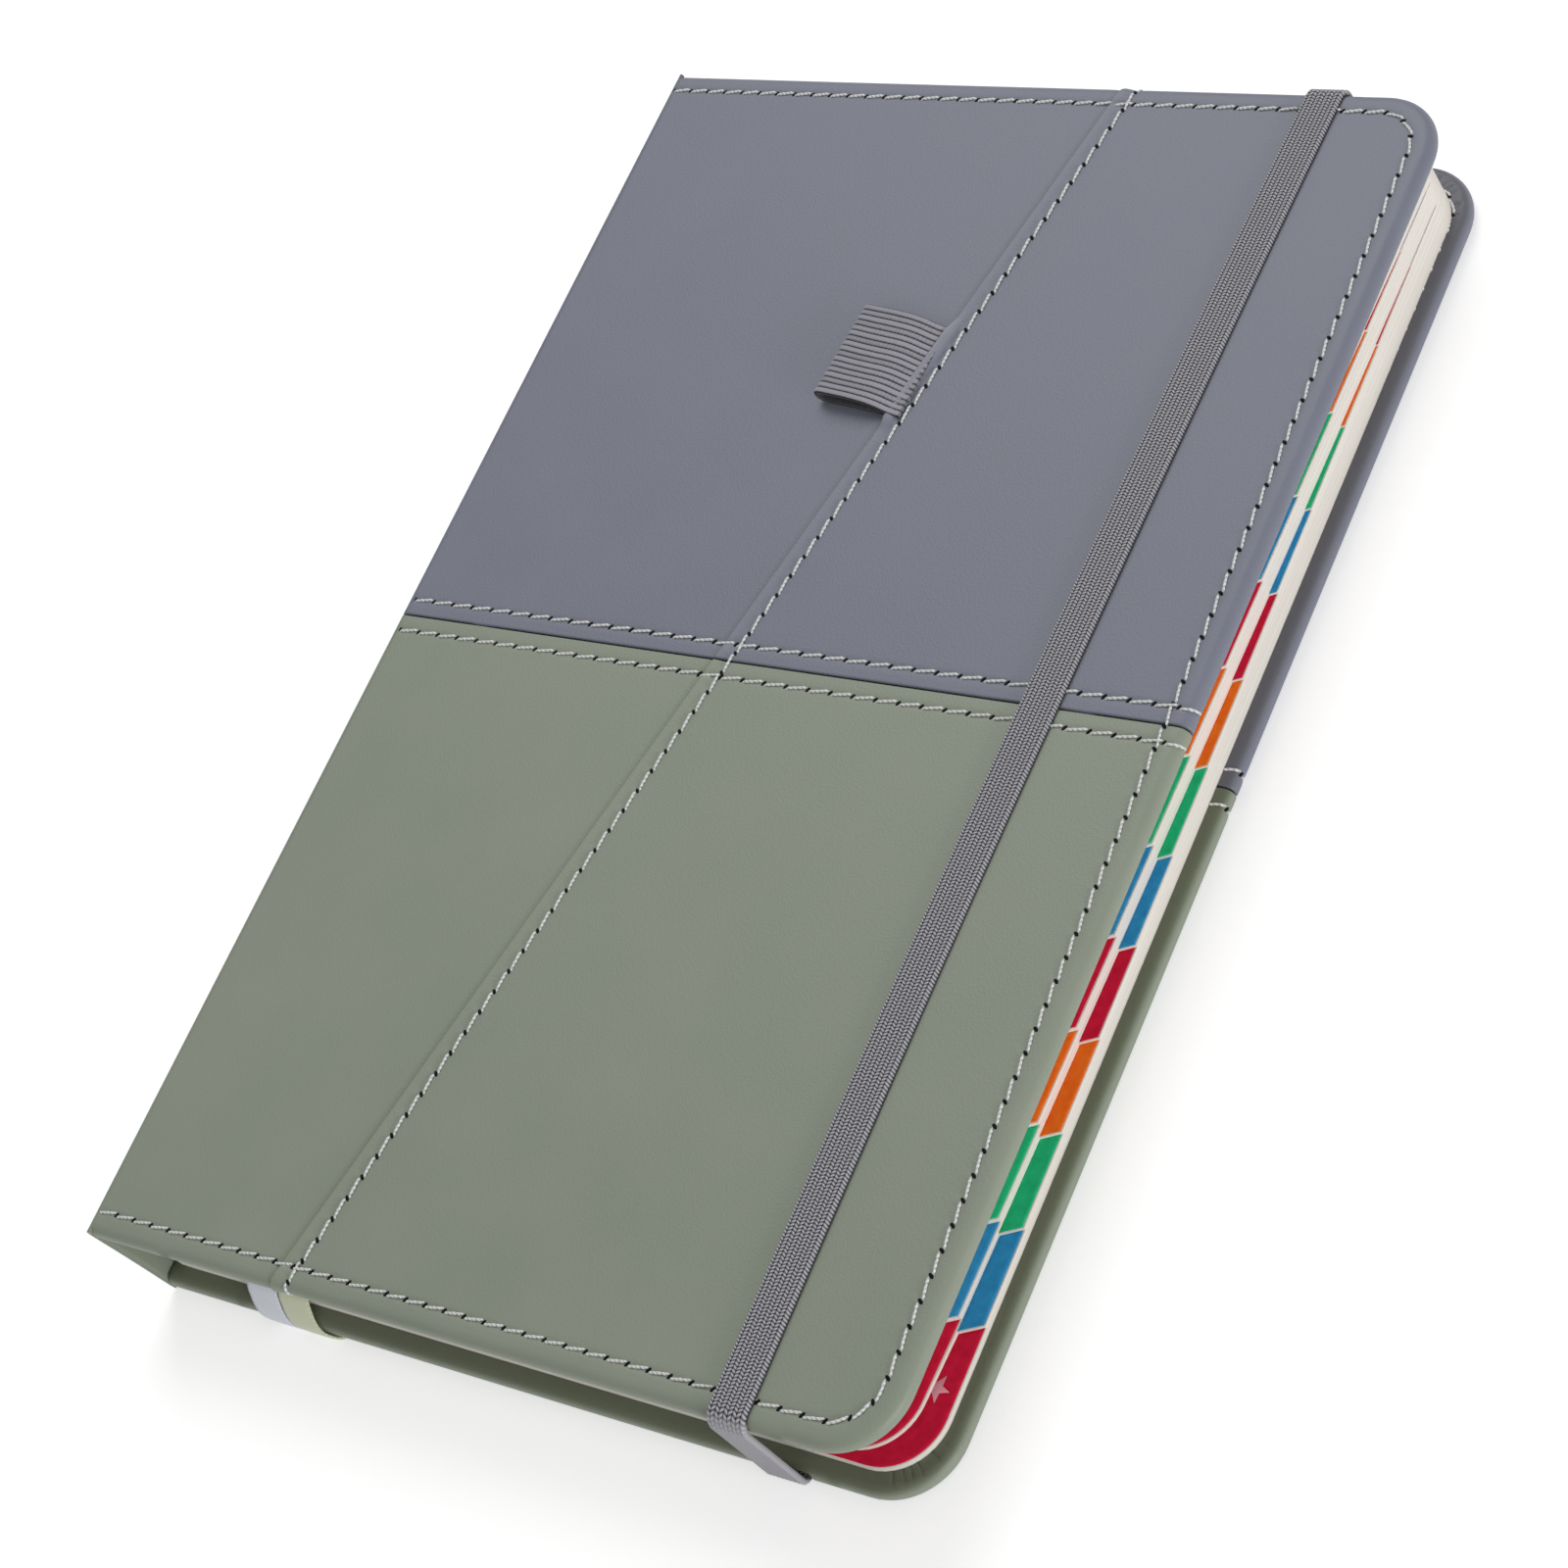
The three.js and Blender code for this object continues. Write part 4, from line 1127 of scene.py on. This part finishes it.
# Stage
def make_stage():
    """A pale floor and an even white studio, each brighter to the camera than the
    light that it gives."""
    mesh = bpy.data.meshes.new("floor")
    sides = ((-1, -1), (1, -1), (1, 1), (-1, 1))
    spots = [(a * FLOOR_REACH, b * FLOOR_REACH, 0) for a, b in sides]
    mesh.from_pydata(spots, [], [(0, 1, 2, 3)])
    floor = bpy.data.objects.new("floor", mesh)
    bpy.context.scene.collection.objects.link(floor)
    material, tree, shader = new_material("floor_white", 0.9, 0.0)
    shader.inputs["Base Color"].default_value = (0.8, 0.8, 0.8, 1)
    light = node(tree, "ShaderNodeLightPath")
    glow = node(tree, "ShaderNodeEmission")
    glow.inputs["Color"].default_value = (1, 1, 1, 1)
    seen = maths(tree, "MAXIMUM", light.outputs["Is Camera Ray"], light.outputs["Is Glossy Ray"])
    total = node(tree, "ShaderNodeAddShader")
    link = tree.links.new
    link(maths(tree, "MULTIPLY", seen, FLOOR_GLOW), glow.inputs["Strength"])
    link(shader.outputs[0], total.inputs[0])
    link(glow.outputs[0], total.inputs[1])
    link(total.outputs[0], tree.nodes["Material Output"].inputs["Surface"])
    floor.data.materials.append(material)

    world = bpy.data.worlds.new("studio")
    bpy.context.scene.world = world
    world.use_nodes = True
    tree = world.node_tree
    back = tree.nodes["Background"]
    back.inputs["Color"].default_value = (1, 1, 1, 1)
    light = node(tree, "ShaderNodeLightPath")
    level = node(tree, "ShaderNodeMapRange", in_To_Min=STUDIO_LEVEL, in_To_Max=1.0)
    tree.links.new(light.outputs["Is Camera Ray"], level.inputs["Value"])
    tree.links.new(level.outputs[0], back.inputs["Strength"])


def make_lamp(name, place, aim, size, power):
    data = bpy.data.lights.new(name, "AREA")
    data.shape = "RECTANGLE"
    data.size, data.size_y = size
    data.energy = power
    lamp = bpy.data.objects.new(name, data)
    bpy.context.scene.collection.objects.link(lamp)
    ahead = (Vector(aim) - Vector(place)).to_track_quat("-Z", "Y")
    lamp.matrix_world = Matrix.Translation(place) @ ahead.to_matrix().to_4x4()


make_camera()

# thread: painted shade between its plies, painted highlight on them
thread_grey = make_textile("thread", "#66676b", "#f0f0ee", 0.55, 0.1, 4000.0, 0.75)
# ribbons: painted shade between ribs, painted highlight on them
ribbon_blue = make_textile("blue_ribbon", "#bfcae2", "#eef3fc", 0.5, 0.4, 2500.0)
ribbon_green = make_textile("green_ribbon", "#b8bf9f", "#e4e9cc", 0.5, 0.4, 2500.0)
make_ribbon("ribbon_blue_weave", BLUE_RIBBON_X, ribbon_blue, "ribbon_blue")
make_ribbon("ribbon_green_weave", GREEN_RIBBON_X, ribbon_green, "ribbon_green")

grain = make_grain_group()
# dark: painted shade in grooves; light: painted highlight on edges; last colour: painted shade on turned-in
# faces
grey = make_leatherette("grey_leatherette", "#26272c", ("#787b8a", "#7d808f"), "#a3a3ad", "#65666e", grain)
green = make_leatherette("green_leatherette", "#2b2e23", ("#8d9686", "#929a8a"), "#a6aa94", "#686f5a", grain)
# elastic: painted shade in the knit's gaps, painted highlight on its ridges
elastic = make_knit("elastic", "#2c2c30", "#bdbbc2")
# pen loop: painted shade inside and between ribs, painted highlight on ribs
loop_elastic = make_textile("loop_elastic", "#1c1c20", "#a19fa8", 0.8, 0.1, 3000.0, 0.72)
# painted shade inside the needle holes
hole_shade_finish = make_print("needle_hole_shade", "#0e0e10", "#18181a")
pages = make_paper("page_edges", "#ddd6cc", "#f6f1ea", 0.12, 0.2)
endpaper = make_print("endpaper", "#d9d1c6", "#e6dfd5")
board = make_print("grey_board", "#857d72", "#948c80")
index_prints = {
    "lavender": make_print("index_lavender", "#b9bfd8", "#c8cde2"),
    "crimson": make_print("index_crimson", "#cc1038", "#e01b45"),
    "orange": make_print("index_orange", "#fb6b14", "#ff7f24"),
    "green": make_print("index_green", "#1dbb7c", "#28cb8b"),
    "blue": make_print("index_blue", "#2c8ec9", "#369ed8"),
}

for half, tone, title in ((1, grey, "grey"), (-1, green, "green")):
    for side, place in ((-1, "left"), (1, "right")):
        name = f"front_leather_{title}_{place}"
        cad_name = f"front_panel_{title}_{place}"
        make_panel(name, FRONT, half, side, tone, "front_cover", [cad_name])
    make_panel(f"back_leather_{title}", BACK, half, 0, tone, "back_cover", [f"back_panel_{title}"])

lap_shift = LAP_STITCH / np.cos(LAP_TILT)
edge_x = FORE_X - EDGE_RADIUS
edge_y = HEAD_Y - EDGE_RADIUS
lap_start = (lap_x(-edge_y) + lap_shift, -edge_y)
lap_end = (lap_x(edge_y) + lap_shift, edge_y)
front_rows = [
    (border_route(FRONT, False, STITCH_INSET), STITCH_PITCH),
    (border_route(FRONT, True, INNER_INSET), STITCH_PITCH),
    (over_edge(FRONT, lap_start, lap_end, 0.9, 0.9, 0.0), STITCH_PITCH),
]
inner_points, inner_ups = border_route(BACK, True, INNER_INSET)
sway = smooth_step(45.0, 85.0, inner_points[:, 1]) * (inner_points[:, 0] > FORE_X - FORE_CORNER)
inner_points[:, 0] += INNER_SWAY * sway
back_rows = [
    (border_route(BACK, False, STITCH_INSET), STITCH_PITCH),
    ((inner_points, inner_ups), STITCH_PITCH),
]
for offset in (-SEAM_STITCH, SEAM_STITCH):
    y = SEAM_Y + offset
    for cover, rows in ((FRONT, front_rows), (BACK, back_rows)):
        row = over_edge(cover, (cover.spine_x + 1.6, y), (edge_x, y), 1.0, 0.0, SEAM_INWARD)
        rows.append((row, SEAM_PITCH))
make_stitches("front_stitches", front_rows, "front_cover", thread_grey, hole_shade_finish)
make_stitches("back_stitches", back_rows, "back_cover", thread_grey, hole_shade_finish)

make_band(elastic)
make_pen_loop(loop_elastic)
make_index_strips(index_prints)
make_star(make_print("index_star_pink", "#dd8f9f", "#e6a5b2"))
make_spine_skin("spine_skin_grey", SEAM_Y + 0.2, HEAD_Y, grey, ["spine_panel_grey"])
make_spine_skin("spine_skin_green", -HEAD_Y, SEAM_Y - 0.2, green,
                ["spine_panel_green", "spine_board"])
dress("page_block", pages)
for lining in ("front_lining", "back_lining"):
    dress(lining, endpaper)
for stiff in ("front_board", "back_board"):
    dress(stiff, board)

make_stage()
make_lamp("key_light", (-0.5, 0.9, 1.1), (0, 0, 0), (0.9, 0.9), 9.0)
make_lamp("fill_light", (1.4, -0.45, 0.22), (0, 0, 0), (1.0, 0.4), 10.5)
bpy.context.scene.view_settings.view_transform = "Standard"
